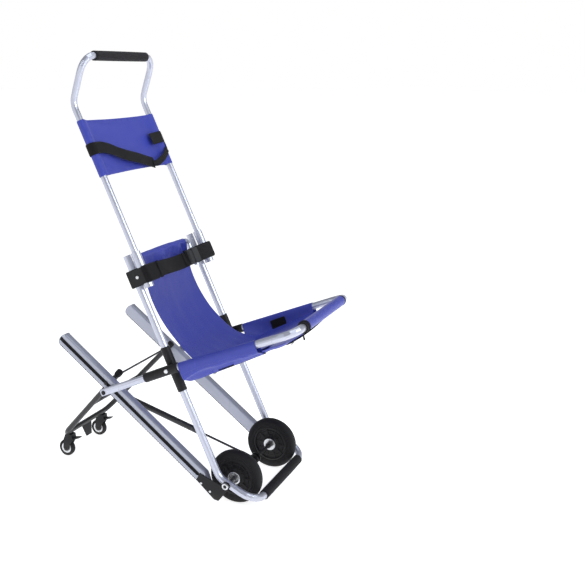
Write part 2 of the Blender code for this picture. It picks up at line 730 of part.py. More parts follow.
def seat_pieces():
    points = []
    for side in (-1.0, 1.0):
        x = side * SEAT_X
        leg = [seat_at(x, -LEVER_LENGTH), seat_at(x, 0.0), seat_at(x, SEAT_LENGTH)]
        points += leg if side < 0.0 else list(reversed(leg))
    # The side tubes change slope a little at the pivot, inside the sleeve.
    bends = (0.0, SEAT_CORNER, SEAT_CORNER, 0.0)
    mesh = tube(points, SEAT_TUBE_RADIUS, bends)
    for vert in mesh.verts:
        side = 1.0 if vert.co.x > 0.0 else -1.0
        forward = UPRIGHT_BACK - (vert.co - AXLE).dot(LEANING_BACK)
        share = min(max(1.0 - (forward + LEVER_LENGTH) / LEVER_TIP_LENGTH, 0.0), 1.0)
        share = share * share * (3.0 - 2.0 * share)
        squeeze = 1.0 + (LEVER_TIP_HALF_WIDTH / SEAT_TUBE_RADIUS - 1.0) * share
        if share > 0.0:
            vert.co.x = side * SEAT_X + (vert.co.x - side * SEAT_X) * squeeze
    loop = add("seat_loop", mesh, "silver_tube", seat)
    holes = []
    for _, side in SIDES:
        reach = SEAT_TUBE_RADIUS + PAST
        pivot = PIVOT + ACROSS * side * SEAT_X
        holes.append(rod(pivot, ACROSS, PIVOT_BOLT_RADIUS + CLEARANCE, -reach, reach))
    combine(loop, holes, "DIFFERENCE")
    for name, side in SIDES:
        x = side * SEAT_X
        bore = SEAT_TUBE_RADIUS + CLEARANCE
        line = [seat_at(x, -SEAT_SLEEVE_REAR), seat_at(x, 0.0), seat_at(x, SEAT_SLEEVE_FRONT)]
        sleeve_mesh = tube(line, bore + SLEEVE_WALL, (0.0,), bore=bore)
        sleeve = add(f"seat_sleeve_{name}", sleeve_mesh, "black_plastic", seat)
        reach = bore + SLEEVE_WALL + PAST
        hole = rod(PIVOT + ACROSS * x, ACROSS, PIVOT_BOLT_RADIUS + CLEARANCE, -reach, reach)
        combine(sleeve, [hole], "DIFFERENCE")
        outer = SEAT_X + bore + SLEEVE_WALL
        inner = UPRIGHT_X - FRAME_TUBE_RADIUS - SLEEVE_WALL - CLEARANCE
        profile = [
            (0.0, inner),
            (PIVOT_BOLT_RADIUS, inner),
            (PIVOT_BOLT_RADIUS, outer + CLEARANCE),
            (BOLT_HEAD_RADIUS, outer + CLEARANCE),
            (BOLT_HEAD_RADIUS * 0.75, outer + CLEARANCE + BOLT_HEAD_HEIGHT),
            (0.0, outer + CLEARANCE + BOLT_HEAD_HEIGHT),
        ]
        bolt = turned(profile, PIVOT, ACROSS * side, 14)
        add(f"pivot_bolt_{name}", bolt, "bright_steel", seat)
    front = seat_at(0.0, SEAT_LENGTH)
    bore = SEAT_TUBE_RADIUS + CLEARANCE
    pad = [front - ACROSS * SEAT_PAD_HALF, front + ACROSS * SEAT_PAD_HALF]
    add("seat_front_pad", tube(pad, bore + PAD_WALL, bore=bore), "blue_cloth", seat)
    seat_strap(front, bore + PAD_WALL + CLEARANCE)


def seat_strap(front, inner):
    """Restraint strap looped round the pad near its right end, with its tail hanging down."""
    start = -SEAT_STRAP_X - SEAT_STRAP_WIDTH / 2.0
    end = start + SEAT_STRAP_WIDTH
    outer = inner + BELT_THICK
    loop = add("seat_strap", washer(front, ACROSS, outer, inner, start, end, 20), "black_webbing", seat)
    outline = [
        front + Vector((start, -BELT_THICK / 2.0, -inner - BELT_THICK / 2.0)),
        front + Vector((end, -BELT_THICK / 2.0, -inner - BELT_THICK / 2.0)),
        front + Vector((end, -BELT_THICK / 2.0, -outer - SEAT_STRAP_TAIL)),
        front + Vector((start, -BELT_THICK / 2.0, -outer - SEAT_STRAP_TAIL)),
    ]
    combine(loop, [slab(outline, Vector((0.0, BELT_THICK, 0.0)))], "UNION")


def seat_cloth():
    half = SEAT_X - SEAT_TUBE_RADIUS - CLEARANCE * 2.0
    length = SEAT_PANEL_END - SEAT_PANEL_START
    normal = (seat_at(0.0, 1.0, -1.0) - seat_at(0.0, 1.0, 0.0)).normalized()

    def surface(across, along):
        x = (2.0 * across - 1.0) * half
        sag = SEAT_PANEL_SAG * (1.0 - (x / half) ** 2)
        return seat_at(x, SEAT_PANEL_START + length * along, SEAT_PANEL_DROP + sag), normal

    add("seat_panel", sheet(8, 4, surface, CLOTH_THICK), "blue_cloth", seat)

    def pouch_surface(across, along):
        x = (2.0 * across - 1.0) * POUCH_HALF
        sag = SEAT_PANEL_SAG * (1.0 - (x / half) ** 2)
        drop = SEAT_PANEL_DROP + sag + (CLOTH_THICK + POUCH_THICK) / 2.0 + RUNNING_GAP
        forward = SEAT_PANEL_START + POUCH_INSET + (length - 2.0 * POUCH_INSET) * along
        return seat_at(x, forward, drop), normal

    add("seat_pouch", sheet(8, 4, pouch_surface, POUCH_THICK), "blue_cloth", seat)


# Rails with their slot liners, belts and lower brackets

def rail_section(x_side):
    """Rail section as (x, off) points, with the liner's slot in its outer face."""
    half = RAIL_WIDTH / 2.0
    near = RAIL_OFFSET - RAIL_DEPTH / 2.0
    far = RAIL_OFFSET + RAIL_DEPTH / 2.0
    slot = RAIL_SLOT_WIDTH / 2.0

    def corner(x, off, first):
        turns = [math.radians(first + 30.0 * step) for step in range(4)]
        return [(x + RAIL_EDGE * math.cos(turn), off + RAIL_EDGE * math.sin(turn)) for turn in turns]

    inner_x = half - RAIL_EDGE
    section = corner(-inner_x, near + RAIL_EDGE, 180.0) + corner(inner_x, near + RAIL_EDGE, 270.0)
    section += [
        (half, RAIL_OFFSET - slot),
        (half - RAIL_SLOT_DEPTH, RAIL_OFFSET - slot),
        (half - RAIL_SLOT_DEPTH, RAIL_OFFSET + slot),
        (half, RAIL_OFFSET + slot),
    ]
    section += corner(inner_x, far - RAIL_EDGE, 0.0) + corner(-inner_x, far - RAIL_EDGE, 90.0)
    return [(x_side * (RAIL_X + across), off) for across, off in section]


def rail_start(off):
    """The rail's lower end is cut on a slant, so that it clears the upright when folded."""
    share = (off - RAIL_OFFSET + RAIL_DEPTH / 2.0) / RAIL_DEPTH
    return RAIL_FRONT_START + (RAIL_REAR_START - RAIL_FRONT_START) * share


def rail_pieces():
    for name, side in SIDES:
        mesh = bmesh.new()
        section = rail_section(side)
        low = [mesh.verts.new(rail_at(x, rail_start(off), off)) for x, off in section]
        high = [mesh.verts.new(rail_at(x, RAIL_TOP, off)) for x, off in section]
        mesh.faces.new(low)
        mesh.faces.new(high)
        bridge(mesh, low, high)
        rail = add(f"stair_rail_{name}", mesh, "silver_tube", rails)
        outward = ACROSS * side
        inner = RAIL_X - RAIL_WIDTH / 2.0
        outer = RAIL_X + RAIL_WIDTH / 2.0
        hole = rod(LEG_PIN, outward, LEG_PIN_RADIUS + CLEARANCE, inner - PAST, outer + PAST)
        combine(rail, [hole], "DIFFERENCE")
        liner_out = outer - RAIL_SLOT_DEPTH + CLEARANCE + LINER_THICK
        half = RAIL_SLOT_WIDTH / 2.0 - CLEARANCE
        liner_x = (side * (liner_out - LINER_THICK), side * liner_out)
        low_corner = (min(liner_x), RAIL_FRONT_START + 0.01, RAIL_OFFSET - half)
        high_corner = (max(liner_x), RAIL_TOP - 0.002, RAIL_OFFSET + half)
        liner_mesh = block(low_corner, high_corner, place=rail_at)
        liner = add(f"rail_liner_{name}", liner_mesh, "black_rubber", rails)
        hole = rod(LEG_PIN, outward, LEG_PIN_RADIUS + CLEARANCE, inner - PAST, outer + PAST)
        combine(liner, [hole], "DIFFERENCE")
        belt_half = RAIL_WIDTH / 2.0 - RAIL_EDGE
        far = RAIL_OFFSET + RAIL_DEPTH / 2.0 + CLEARANCE
        belt_x = (side * (RAIL_X - belt_half), side * (RAIL_X + belt_half))
        low_corner = (min(belt_x), RAIL_REAR_START + 0.004, far)
        high_corner = (max(belt_x), RAIL_TOP, far + RAIL_BELT_THICK)
        add(f"rail_belt_{name}", block(low_corner, high_corner, place=rail_at), "black_rubber", rails)
        pin_profile = [
            (0.0, LEG_TOP_X - LEG_TUBE_RADIUS - 0.003),
            (LEG_PIN_RADIUS, LEG_TOP_X - LEG_TUBE_RADIUS - 0.003),
            (LEG_PIN_RADIUS, outer + CLEARANCE),
            (LEG_PIN_HEAD, outer + CLEARANCE),
            (LEG_PIN_HEAD * 0.8, outer + CLEARANCE + LEG_PIN_HEAD_HEIGHT),
            (0.0, outer + CLEARANCE + LEG_PIN_HEAD_HEIGHT),
        ]
        pin = turned(pin_profile, LEG_PIN, outward, 14)
        add(f"leg_pin_{name}", pin, "black_plastic", rails)
        rail_bracket(name, side, outer + CLEARANCE)


def rail_bracket(name, side, inner):
    """Plate that carries the rail's lower end on the axle, round at the axle."""
    far = RAIL_OFFSET + RAIL_DEPTH / 2.0
    turns = [math.radians(angle) for angle in (-180.0, -140.0, -100.0, -60.0, -20.0, 20.0, 60.0)]
    outline = [(BRACKET_BOSS * math.cos(turn), BRACKET_BOSS * math.sin(turn)) for turn in turns]
    outline += [
        (BRACKET_LENGTH, RAIL_OFFSET - 0.008),
        (BRACKET_LENGTH - 0.006, far - 0.004),
        (0.0, far + 0.002),
        (-0.014, far - 0.006),
    ]
    points = [rail_at(side * inner, along, off) for along, off in outline]
    plate = add(f"rail_bracket_{name}", slab(points, ACROSS * side * BRACKET_THICK), "black_plastic", rails)
    hole_end = inner + BRACKET_THICK + PAST
    hole = rod(AXLE, ACROSS * side, AXLE_RADIUS + RUNNING_GAP, inner - PAST, hole_end)
    combine(plate, [hole], "DIFFERENCE")


# Caster frame with caps, tie rod, strut bracket and foot pedal

def caster_frame_pieces():
    points = []
    for side in (-1.0, 1.0):
        leg = [
            leg_at(side * LEG_TOP_X, 0.0),
            leg_at(side * LEG_KNEE_X, LEG_KNEE_RUN),
            leg_at(side * LEG_FOOT_X, LEG_LENGTH),
        ]
        points += leg if side < 0.0 else list(reversed(leg))
    bends = (0.030, 0.020, 0.020, 0.030)
    loop = add("caster_frame", tube(points, LEG_TUBE_RADIUS, bends, steps=3), "black_tube", caster_frame)
    bar_x = leg_x(STRUT_BAR_RUN)
    bar = [leg_at(-bar_x, STRUT_BAR_RUN), leg_at(bar_x, STRUT_BAR_RUN)]
    tie_x = leg_x(TIE_ROD_RUN)
    tie = [leg_at(-tie_x, TIE_ROD_RUN), leg_at(tie_x, TIE_ROD_RUN)]
    welded = [tube(bar, STRUT_BAR_RADIUS), tube(tie, TIE_ROD_RADIUS, segments=8)]
    combine(loop, welded, "UNION")
    holes = []
    for _, side in SIDES:
        reach = LEG_TUBE_RADIUS + PAST
        start = LEG_PIN + ACROSS * side * leg_x(LEG_ABOVE_PIN)
        holes.append(rod(start, ACROSS, LEG_PIN_RADIUS + RUNNING_GAP, -reach, reach))
        stem = FOOT + ACROSS * side * CASTER_X
        top = -LEG_TUBE_RADIUS + FORK_STEM_DEPTH
        holes.append(rod(stem, UP, FORK_STEM_RADIUS + RUNNING_GAP, -LEG_TUBE_RADIUS - PAST, top))
    combine(loop, holes, "DIFFERENCE")
    down_leg = (leg_at(0.0, 1.0) - leg_at(0.0, 0.0)).normalized()
    for name, side in SIDES:
        drift = (LEG_KNEE_X - LEG_TOP_X) / LEG_KNEE_RUN
        direction = (down_leg + ACROSS * side * drift).normalized()
        top = leg_at(side * LEG_TOP_X, 0.0)
        bore = LEG_TUBE_RADIUS + CLEARANCE
        profile = [
            (0.0, -CAP_WALL),
            (bore * 0.7, -CAP_WALL),
            (bore + CAP_WALL, 0.0),
            (bore + CAP_WALL, CAP_LENGTH),
            (bore, CAP_LENGTH),
            (bore, -CLEARANCE),
            (0.0, -CLEARANCE),
        ]
        cap = turned(profile, top, direction, TUBE_SEGMENTS)
        add(f"leg_cap_{name}", cap, "black_rubber", caster_frame)
    strut_bracket()
    pedal_top = -LEG_TUBE_RADIUS - CLEARANCE
    outline = [
        FOOT + Vector((-PEDAL_HALF, 0.0, pedal_top)),
        FOOT + Vector((PEDAL_HALF, 0.0, pedal_top)),
        FOOT + Vector((PEDAL_TIP_HALF, -0.010, pedal_top - PEDAL_DROP)),
        FOOT + Vector((-PEDAL_TIP_HALF, -0.010, pedal_top - PEDAL_DROP)),
    ]
    add("foot_pedal", slab(outline, Vector((0.0, PEDAL_THICK, 0.0))), "black_plastic", caster_frame)


def strut_bracket():
    """Saddle on the strut bar with two cheeks and the pin that the strut's eye turns on."""
    seat_radius = STRUT_BAR_RADIUS + CLEARANCE
    middle = leg_at(0.0, STRUT_BAR_RUN)
    outer_x = STRUT_EYE_HALF + RUNNING_GAP + STRUT_CHEEK
    saddle = washer(middle, ACROSS, seat_radius + 0.0026, seat_radius, -outer_x, outer_x, 20)
    bracket = add("strut_bracket", saddle, "bright_steel", caster_frame)
    lift = (STRUT_PIN - middle).length
    normal = (STRUT_PIN - middle).normalized()
    along = normal.cross(ACROSS)
    joined = []
    for _, side in SIDES:
        inner = STRUT_EYE_HALF + RUNNING_GAP
        outline = [
            middle + normal * (seat_radius + 0.0012) - along * 0.0085,
            middle + normal * (lift - 0.002) - along * 0.0085,
            middle + normal * (lift + 0.006) - along * 0.0045,
            middle + normal * (lift + 0.006) + along * 0.0045,
            middle + normal * (lift - 0.002) + along * 0.0085,
            middle + normal * (seat_radius + 0.0012) + along * 0.0085,
        ]
        joined.append(slab([point + ACROSS * side * inner for point in outline], ACROSS * side * STRUT_CHEEK))
    joined.append(rod(STRUT_PIN, ACROSS, STRUT_PIN_RADIUS, -outer_x - 0.002, outer_x + 0.002, 12))
    combine(bracket, joined, "UNION")


# Gas strut

def gas_strut():
    bore = STRUT_ROD_RADIUS + RUNNING_GAP
    mouth = STRUT_BODY_LENGTH
    start = STRUT_EYE_RADIUS - 0.0015
    body_start = STRUT_EYE_RADIUS + 0.0045
    profile = [
        (0.0, start),
        (STRUT_EYE_HALF, start),
        (STRUT_EYE_HALF, body_start),
        (STRUT_RADIUS, body_start + 0.003),
        (STRUT_RADIUS, mouth - 0.004),
        (STRUT_RADIUS * 0.8, mouth),
        (bore, mouth),
        (bore, start + 0.030),
        (0.0, start + 0.030),
    ]
    mesh = turned(profile, STRUT_PIN, STRUT_DIRECTION, 16)
    shell = add("strut_cylinder", mesh, "black_tube", strut_body)
    eye = rod(STRUT_PIN, ACROSS, STRUT_EYE_RADIUS, -STRUT_EYE_HALF, STRUT_EYE_HALF, 18)
    combine(shell, [eye], "UNION")
    hole = rod(STRUT_PIN, ACROSS, STRUT_PIN_RADIUS + RUNNING_GAP, -0.02, 0.02, 12)
    combine(shell, [hole], "DIFFERENCE")
    total = (AXLE - STRUT_PIN).length
    rod_start = mouth - STRUT_ROD_INSIDE
    rod_end = total - STRUT_TIP
    bar = rod(STRUT_PIN, STRUT_DIRECTION, STRUT_ROD_RADIUS, rod_start, rod_end, 12)
    add("strut_rod", bar, "bright_steel", strut_rod)


# Casters

def casters():
    for name, side in SIDES:
        stem = FOOT + ACROSS * side * CASTER_X
        swivel = body(f"swivel_{name}", stem, caster_frame)
        hub = Vector((stem.x, stem.y + CASTER_TRAIL, CASTER_RADIUS))
        turning = body(f"caster_{name}", hub, swivel)
        crown_top = stem.z - LEG_TUBE_RADIUS - RUNNING_GAP
        crown_low = CASTER_RADIUS * 2.0 + 0.0025
        inner = CASTER_WIDTH / 2.0 + 0.0008
        outer = inner + FORK_CHEEK
        outline = [
            Vector((stem.x - outer, stem.y - 0.016, crown_low)),
            Vector((stem.x - outer, stem.y - 0.012, crown_top)),
            Vector((stem.x - outer, stem.y + 0.014, crown_top)),
            Vector((stem.x - outer, stem.y + 0.024, crown_low)),
        ]
        crown = slab(outline, ACROSS * 2.0 * outer)
        fork = add(f"caster_fork_{name}", crown, "black_plastic", swivel)
        stem_top = FORK_STEM_DEPTH - LEG_TUBE_RADIUS - RUNNING_GAP
        joined = [rod(stem, UP, FORK_STEM_RADIUS, crown_low + 0.001 - stem.z, stem_top)]
        for cheek in (-1.0, 1.0):
            outline = [
                Vector((0.0, stem.y - 0.014, crown_low + 0.002)),
                Vector((0.0, stem.y + 0.022, crown_low + 0.002)),
                Vector((0.0, hub.y + 0.010, hub.z + 0.002)),
                Vector((0.0, hub.y + 0.004, hub.z - 0.009)),
                Vector((0.0, hub.y - 0.006, hub.z - 0.009)),
                Vector((0.0, hub.y - 0.012, hub.z + 0.002)),
            ]
            shifted = [point + ACROSS * (stem.x + cheek * inner) for point in outline]
            joined.append(slab(shifted, ACROSS * cheek * FORK_CHEEK))
        joined.append(rod(hub, ACROSS, CASTER_PIN_RADIUS, -outer - 0.0015, outer + 0.0015))
        combine(fork, joined, "UNION")
        half = CASTER_WIDTH / 2.0
        profile = [
            (CASTER_PIN_RADIUS + RUNNING_GAP, -half * 0.9),
            (0.010, -half * 0.9),
            (0.012, -half * 0.7),
            (CASTER_RADIUS - 0.008, -half * 0.8),
            (CASTER_RADIUS - 0.003, -half * 0.9),
            (CASTER_RADIUS, -half * 0.55),
            (CASTER_RADIUS, half * 0.55),
            (CASTER_RADIUS - 0.003, half * 0.9),
            (CASTER_RADIUS - 0.008, half * 0.8),
            (0.012, half * 0.7),
            (0.010, half * 0.9),
            (CASTER_PIN_RADIUS + RUNNING_GAP, half * 0.9),
        ]
        add(f"caster_wheel_{name}", turned(profile, hub, ACROSS, 22), "black_rubber", turning)
        lever_y = stem.y - 0.0165
        brake = body(f"brake_{name}", Vector((stem.x, lever_y - 0.003, crown_low + 0.008)), swivel)
        outline = [
            Vector((stem.x - 0.009, lever_y, crown_low + 0.004)),
            Vector((stem.x - 0.009, lever_y, crown_low + 0.012)),
            Vector((stem.x - 0.009, lever_y - BRAKE_LENGTH, crown_low + 0.018)),
            Vector((stem.x - 0.009, lever_y - BRAKE_LENGTH, crown_low + 0.018 - BRAKE_THICK)),
        ]
        add(f"brake_lever_{name}", slab(outline, ACROSS * 0.018), "black_plastic", brake)


# Main wheels

def main_wheels():
    for name, side in SIDES:
        centre = AXLE + ACROSS * side * WHEEL_X
        turning = body(f"wheel_{name}", centre, frame)
        half = TYRE_WIDTH / 2.0
        inner = RIM_RADIUS + CLEARANCE
        profile = [(inner, -half * 0.72), (inner, half * 0.72)]
        shoulder = WHEEL_RADIUS - 0.010
        for step in range(9):
            turn = math.pi * step / 8.0
            across = half * math.cos(turn)
            crown = shoulder + 0.010 * math.sin(turn) ** 0.7
            profile.append((crown, across))
        add(f"wheel_tyre_{name}", turned(profile, centre, ACROSS, 32), "black_rubber", turning)
        rim_half = RIM_WIDTH / 2.0
        hub_half = HUB_WIDTH / 2.0
        bore = AXLE_RADIUS + RUNNING_GAP
        profile = [
            (bore, -hub_half),
            (HUB_RADIUS, -hub_half),
            (HUB_RADIUS + 0.001, -hub_half + 0.010),
            (RIM_RADIUS - 0.012, -rim_half * 0.5),
            (RIM_RADIUS - 0.008, -rim_half),
            (RIM_RADIUS, -rim_half),
            (RIM_RADIUS, rim_half),
            (RIM_RADIUS - 0.008, rim_half),
            (RIM_RADIUS - 0.012, rim_half * 0.5),
            (HUB_RADIUS + 0.001, hub_half - 0.010),
            (HUB_RADIUS, hub_half),
            (bore, hub_half),
        ]
        add(f"wheel_rim_{name}", turned(profile, centre, ACROSS, 26), "black_plastic", turning)


frame_loop()
axle_pieces()
pivot_sleeves()
clamp_blocks()
back_bar()
back_panel()
waist_belt()
handle_pieces()
head_panel()
head_strap()
seat_pieces()
seat_cloth()
rail_pieces()
caster_frame_pieces()
gas_strut()
casters()
main_wheels()
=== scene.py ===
"""Looks of a folding evacuation stair chair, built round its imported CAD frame."""

import json
import math

import bmesh
import bpy
from mathutils import Matrix, Vector, noise


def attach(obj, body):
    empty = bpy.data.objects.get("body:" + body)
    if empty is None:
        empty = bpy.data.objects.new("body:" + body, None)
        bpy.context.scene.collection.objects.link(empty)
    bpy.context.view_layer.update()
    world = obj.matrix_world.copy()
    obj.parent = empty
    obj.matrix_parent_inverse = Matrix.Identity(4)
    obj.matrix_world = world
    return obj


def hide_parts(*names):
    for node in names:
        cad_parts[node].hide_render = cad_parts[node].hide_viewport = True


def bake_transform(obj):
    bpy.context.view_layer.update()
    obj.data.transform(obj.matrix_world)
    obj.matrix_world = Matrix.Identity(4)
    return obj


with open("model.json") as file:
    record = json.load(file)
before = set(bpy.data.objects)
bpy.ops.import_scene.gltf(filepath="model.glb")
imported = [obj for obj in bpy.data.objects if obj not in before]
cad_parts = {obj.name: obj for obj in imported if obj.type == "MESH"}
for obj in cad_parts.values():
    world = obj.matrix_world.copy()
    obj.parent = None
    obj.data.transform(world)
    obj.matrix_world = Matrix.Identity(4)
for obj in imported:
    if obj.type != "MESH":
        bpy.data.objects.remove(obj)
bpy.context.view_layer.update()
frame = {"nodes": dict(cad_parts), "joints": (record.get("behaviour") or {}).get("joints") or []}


# Tubes: uprights, guide tubes, back bar, telescopic handle and seat loop.
# 22 and 25 mm aluminium tube, bent cold and painted a satin silver blue, bolted through the
# black sleeves. The paint has a fine orange peel and dulls where hands and boots rub it.

JOINTS = {joint["name"]: joint for joint in frame["joints"]}
LEAN = math.radians(64.3)
ACROSS = Vector((1.0, 0.0, 0.0))
LEAN_UP = Vector((0.0, math.cos(LEAN), math.sin(LEAN)))
LEAN_BACK = Vector((0.0, math.sin(LEAN), -math.cos(LEAN)))
AXLE = Vector(JOINTS["rail_fold"]["pos_m"])
SIDES = (("right", -1.0), ("left", 1.0))
UPRIGHT_X = 0.2165
UPRIGHT_BACK = 0.022
HANDLE_BACK = -0.0135
HANDLE_TUBE_RADIUS = 0.011


def at(x, up, back):
    """Point in the chair's leaning frame: up along the uprights, back square behind them."""
    return AXLE + ACROSS * x + LEAN_UP * up + LEAN_BACK * back


def node(tree, kind, feeds=None, **settings):
    """Adds one node; feeds gives each input a value or another node's output."""
    made = tree.nodes.new(kind)
    for name, value in settings.items():
        setattr(made, name, value)
    for name, value in (feeds or {}).items():
        if isinstance(value, bpy.types.NodeSocket):
            tree.links.new(value, made.inputs[name])
        else:
            made.inputs[name].default_value = value
    return made


def math_node(tree, operation, first, second=0.0):
    made = node(tree, "ShaderNodeMath", {0: first, 1: second}, operation=operation)
    return made.outputs[0]


def blend_colour(tree, factor, low, high):
    """Colour between low and high by a mask."""
    made = node(tree, "ShaderNodeMix", data_type="RGBA")
    tree.links.new(factor, made.inputs[0])
    for index, colour in ((6, low), (7, high)):
        if isinstance(colour, bpy.types.NodeSocket):
            tree.links.new(colour, made.inputs[index])
        else:
            made.inputs[index].default_value = (*colour, 1.0)
    return made.outputs[2]


def spread(tree, value, low, high):
    """Turns a mask from 0 to 1 into a number from low to high."""
    feeds = {"Value": value, "To Min": low, "To Max": high}
    return node(tree, "ShaderNodeMapRange", feeds).outputs[0]


def shader_group(name, inputs, outputs):
    """Empty shader node group with named float or vector inputs and outputs."""
    tree = bpy.data.node_groups.new(name, "ShaderNodeTree")
    for label, value in inputs.items():
        kind = "NodeSocketVector" if value is None else "NodeSocketFloat"
        socket = tree.interface.new_socket(label, in_out="INPUT", socket_type=kind)
        if value is not None:
            socket.default_value = value
    for label in outputs:
        tree.interface.new_socket(label, in_out="OUTPUT", socket_type="NodeSocketFloat")
    return tree, tree.nodes.new("NodeGroupInput").outputs, tree.nodes.new("NodeGroupOutput").inputs


def grain_group():
    """Fine surface grain, and slow patches that vary colour and roughness."""
    tree, inputs, outputs = shader_group(
        "surface grain", {"Fineness": 1500.0, "Patches": 9.0}, ("Height", "Patch")
    )
    place = node(tree, "ShaderNodeTexCoord").outputs["Object"]
    fine = {"Vector": place, "Scale": inputs["Fineness"], "Detail": 2.0}
    slow = {"Vector": place, "Scale": inputs["Patches"], "Detail": 5.0, "Roughness": 0.6}
    tree.links.new(node(tree, "ShaderNodeTexNoise", fine).outputs[0], outputs["Height"])
    tree.links.new(node(tree, "ShaderNodeTexNoise", slow).outputs[0], outputs["Patch"])
    return tree


def rubbing_group():
    """Sparse fine scratches, and dust that gathers towards the floor."""
    tree, inputs, outputs = shader_group(
        "rubbing and dust", {"Scratches": 0.5, "Dust Height": 0.12}, ("Scratch", "Dust")
    )
    place = node(tree, "ShaderNodeTexCoord").outputs["Object"]
    stretch = {"Vector": place, "Scale": (160.0, 160.0, 9.0), "Rotation": (0.45, 0.2, 0.0)}
    drawn = node(tree, "ShaderNodeMapping", stretch).outputs[0]
    lines = node(tree, "ShaderNodeTexNoise", {"Vector": drawn, "Scale": 1.0, "Detail": 3.0})
    sharp = {"Value": lines.outputs[0], "From Min": 0.66, "From Max": 0.72}
    thin = node(tree, "ShaderNodeMapRange", sharp).outputs[0]
    tree.links.new(math_node(tree, "MULTIPLY", thin, inputs["Scratches"]), outputs["Scratch"])
    height = node(tree, "ShaderNodeSeparateXYZ", {"Vector": place}).outputs["Z"]
    low = math_node(tree, "DIVIDE", height, inputs["Dust Height"])
    near = math_node(tree, "SUBTRACT", 1.0, low)
    cloud = node(tree, "ShaderNodeTexNoise", {"Vector": place, "Scale": 45.0, "Detail": 6.0})
    dusty = node(tree, "ShaderNodeMath", {0: near, 1: cloud.outputs[0]}, operation="MULTIPLY")
    dusty.use_clamp = True
    tree.links.new(dusty.outputs[0], outputs["Dust"])
    return tree


GRAIN = grain_group()
RUBBING = rubbing_group()


def surface(name, **constants):
    """New material; constants go straight on the Principled sockets."""
    made = bpy.data.materials.new(name)
    made.use_nodes = True
    shader = made.node_tree.nodes["Principled BSDF"]
    for label, value in constants.items():
        shader.inputs[label.replace("_", " ")].default_value = value
    return made, made.node_tree, shader


def use_group(tree, group, **values):
    made = node(tree, "ShaderNodeGroup", node_tree=group)
    for label, value in values.items():
        made.inputs[label.replace("_", " ")].default_value = value
    return made.outputs


def raise_bump(tree, shader, height, distance, strength=1.0):
    feeds = {"Height": height, "Distance": distance, "Strength": strength}
    bump = node(tree, "ShaderNodeBump", feeds)
    tree.links.new(bump.outputs[0], shader.inputs["Normal"])


def painted_silver():
    """Satin silver blue paint: slow tone changes, orange peel, dull rubs and floor dust."""
    made, tree, shader = surface(
        "silver paint", Metallic=0.72, Coat_Weight=0.12, Coat_Roughness=0.25,
    )
    grain = use_group(tree, GRAIN, Fineness=1300.0, Patches=7.0)
    rubs = use_group(tree, RUBBING, Scratches=0.5, Dust_Height=0.07)
    paint = blend_colour(tree, grain["Patch"], (0.480, 0.500, 0.600), (0.580, 0.600, 0.700))
    rubbed = blend_colour(tree, rubs["Scratch"], paint, (0.40, 0.41, 0.46))
    dusty = blend_colour(tree, rubs["Dust"], rubbed, (0.36, 0.34, 0.31))
    tree.links.new(dusty, shader.inputs["Base Color"])
    rough = spread(tree, grain["Patch"], 0.24, 0.42)
    rougher = math_node(tree, "ADD", rough, math_node(tree, "MULTIPLY", rubs["Scratch"], 0.25))
    tree.links.new(rougher, shader.inputs["Roughness"])
    raise_bump(tree, shader, grain["Height"], 0.00012)
    return made


def repaint(material, *names):
    """Gives CAD nodes one finish."""
    for name in names:
        piece = frame["nodes"][name]
        if not piece.material_slots:
            piece.data.materials.append(material)
        for place in piece.material_slots:
            place.material = material


SILVER = painted_silver()
repaint(
    SILVER, "frame_loop", "guide_tube_right", "guide_tube_left", "back_bar", "handle_loop",
    "seat_loop",
)


# Stair rails: two aluminium extrusions hinged on the axle, with a slot along the outer face.
# Mill finish with drawing lines along their length, a black liner in the slot, round noses at
# the top, and a toothed belt along the lower edge that grips the nosing of each stair.

RAIL_ANGLE = math.radians(27.86)
RAIL_OFFSET = 0.0463
RAIL_DEPTH = 0.045
RAIL_WIDTH = 0.028
RAIL_TOP = 0.735
RAIL_START = 0.080
RAIL_BELT_THICK = 0.003
RAIL_BELT_WIDTH = 0.016
RAIL_ALONG = LEAN_UP * math.cos(RAIL_ANGLE) + LEAN_BACK * math.sin(RAIL_ANGLE)
RAIL_OFF = LEAN_BACK * math.cos(RAIL_ANGLE) - LEAN_UP * math.sin(RAIL_ANGLE)


def rail_at(x, along, off):
    """Point in the rails' frame: along the rail from the axle, off square behind it."""
    return AXLE + ACROSS * x + RAIL_ALONG * along + RAIL_OFF * off


def drawn_aluminium():
    """Mill finish: lines drawn along the rail, slow patches and light handling marks."""
    made, tree, shader = surface("drawn aluminium", Metallic=0.55, Coat_Weight=0.1)
    slope = math.atan2(RAIL_ALONG.z, RAIL_ALONG.y)
    place = node(tree, "ShaderNodeTexCoord").outputs["Object"]
    turned_place = {"Vector": place, "Rotation": (-slope, 0.0, 0.0), "Scale": (900.0, 3.0, 900.0)}
    along = node(tree, "ShaderNodeMapping", turned_place).outputs[0]
    lines = node(
        tree, "ShaderNodeTexNoise", {"Vector": along, "Scale": 1.0, "Detail": 3.0},
    ).outputs[0]
    grain = use_group(tree, GRAIN, Fineness=1100.0, Patches=8.0)
    rubs = use_group(tree, RUBBING, Scratches=0.6, Dust_Height=0.10)
    metal = blend_colour(tree, lines, (0.30, 0.315, 0.385), (0.47, 0.490, 0.575))
    patched = blend_colour(tree, grain["Patch"], metal, (0.41, 0.43, 0.515))
    rubbed = blend_colour(tree, rubs["Scratch"], patched, (0.33, 0.34, 0.38))
    tree.links.new(rubbed, shader.inputs["Base Color"])
    tree.links.new(spread(tree, lines, 0.30, 0.46), shader.inputs["Roughness"])
    raise_bump(tree, shader, lines, 0.00008)
    return made


